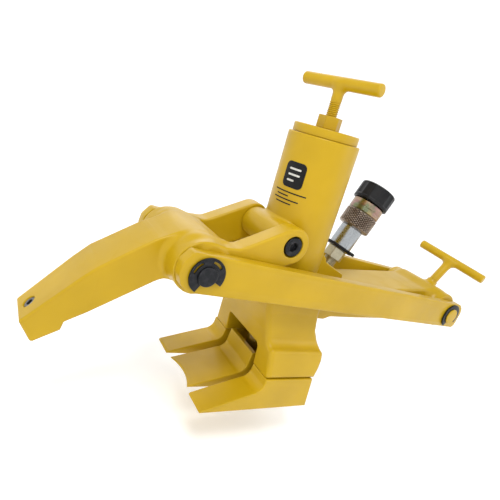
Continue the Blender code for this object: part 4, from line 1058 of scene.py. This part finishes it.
def carried_over():
    """Finishes for the CAD nodes that are shown as they are."""
    finishes = [(bronze, ("hub_bush_", "yoke_bush_", "piston_wear_ring")),
                (rubber, ("piston_seal", "rod_wiper")), (oxide, ("claw_bolt_", "push_foot_bolt")),
                (steel, ("swivel_pad", "piston", "rod_gland")), (zinc, ("coupler_poppet",))]
    for name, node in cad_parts.items():
        material = next((finish[0] for finish, starts in finishes if name.startswith(starts)), None)
        if material:
            node.data.materials.clear()
            node.data.materials.append(material)


barrel()
hex_nut()
top_handle()
cross_tube()
shoulder_bolts()
set_screw()
pins()
retaining_rings()
links()
rear_handle()
rod()
return_spring()
coupler()
label()
carried_over()


# -------------------------------- stage, light and camera

def pale_floor():
    """A round floor, in metres, that sweeps up into a wall all the way round, so no horizon shows. It lies
    just under the push foot at the end of its stroke."""
    flat, sweep, wall, below_sole = 2.2, 1.2, 2.6, 0.052
    profile = [(flat * k / 8, 0) for k in range(1, 9)]
    profile += [(flat + sweep * sin(radians(a)), sweep * (1 - cos(radians(a)))) for a in range(6, 91, 6)]
    profile += [(flat + sweep, sweep + wall)]
    bm = bmesh.new()
    rings = [ring(bm, radius, height, spokes(72)) for radius, height in profile]
    bm.faces.new(rings[0])
    bridge(bm, *rings)
    bmesh.ops.recalc_face_normals(bm, faces=bm.faces)
    mesh = bpy.data.meshes.new("pale_floor")
    bm.to_mesh(mesh)
    bm.free()
    mesh.shade_smooth()
    m = Nodes("pale_floor")
    m.set(Base_Color=m.mix(m.ramp(m.noise(3, 2), 0.3, 0.7), (0.88, 0.88, 0.88), (0.90, 0.90, 0.90)),
          Roughness=0.7, Emission_Color=(1.0, 1.0, 1.0), Emission_Strength=0.23)
    mesh.materials.append(m.material)
    floor = bpy.data.objects.new("pale_floor", mesh)
    floor.location.z = -below_sole
    bpy.context.scene.collection.objects.link(floor)


def area_light(name, place, size, power):
    """A white disk lamp aimed at the middle of the tool."""
    aim = Vector((0, 0, 0.15))
    light = bpy.data.lights.new(name, "AREA")
    light.shape = "DISK"
    light.size = size
    light.energy = power
    obj = bpy.data.objects.new(name, light)
    obj.location = place
    obj.rotation_euler = (aim - Vector(place)).to_track_quat("-Z", "Y").to_euler()
    bpy.context.scene.collection.objects.link(obj)


def lights():
    """A soft key from above the claw end, a weak fill, a broad light behind, and a white surround."""
    area_light("key_light", (-0.75, -0.75, 1.75), 0.7, 21)
    area_light("fill_light", (1.4, -1.3, 0.9), 1.0, 4.5)
    area_light("back_light", (0.3, 1.6, 1.6), 1.6, 9)
    world = bpy.data.worlds.new("studio")
    world.use_nodes = True
    background = world.node_tree.nodes["Background"]
    background.inputs["Color"].default_value = (1, 1, 1, 1)
    background.inputs["Strength"].default_value = 0.55
    bpy.context.scene.world = world
    bpy.context.scene.view_settings.view_transform = "Standard"


def camera():
    """A close, tilted camera that looks down the length of the tool from its claw end."""
    place = (-0.3306, -0.3236, 0.2501)
    right = Vector((0.794, -0.486, 0.366)).normalized()
    up = Vector((-0.170, 0.402, 0.900))
    up = (up - right * up.dot(right)).normalized()
    back = right.cross(up)
    data = bpy.data.cameras.new("camera")
    data.sensor_width = 36
    data.lens = 29.15
    data.clip_start = 0.01
    obj = bpy.data.objects.new("camera", data)
    rotation = Matrix((right, up, back)).transposed()
    obj.matrix_world = Matrix.Translation(place) @ rotation.to_4x4()
    bpy.context.scene.collection.objects.link(obj)
    bpy.context.scene.camera = obj


pale_floor()
lights()
camera()
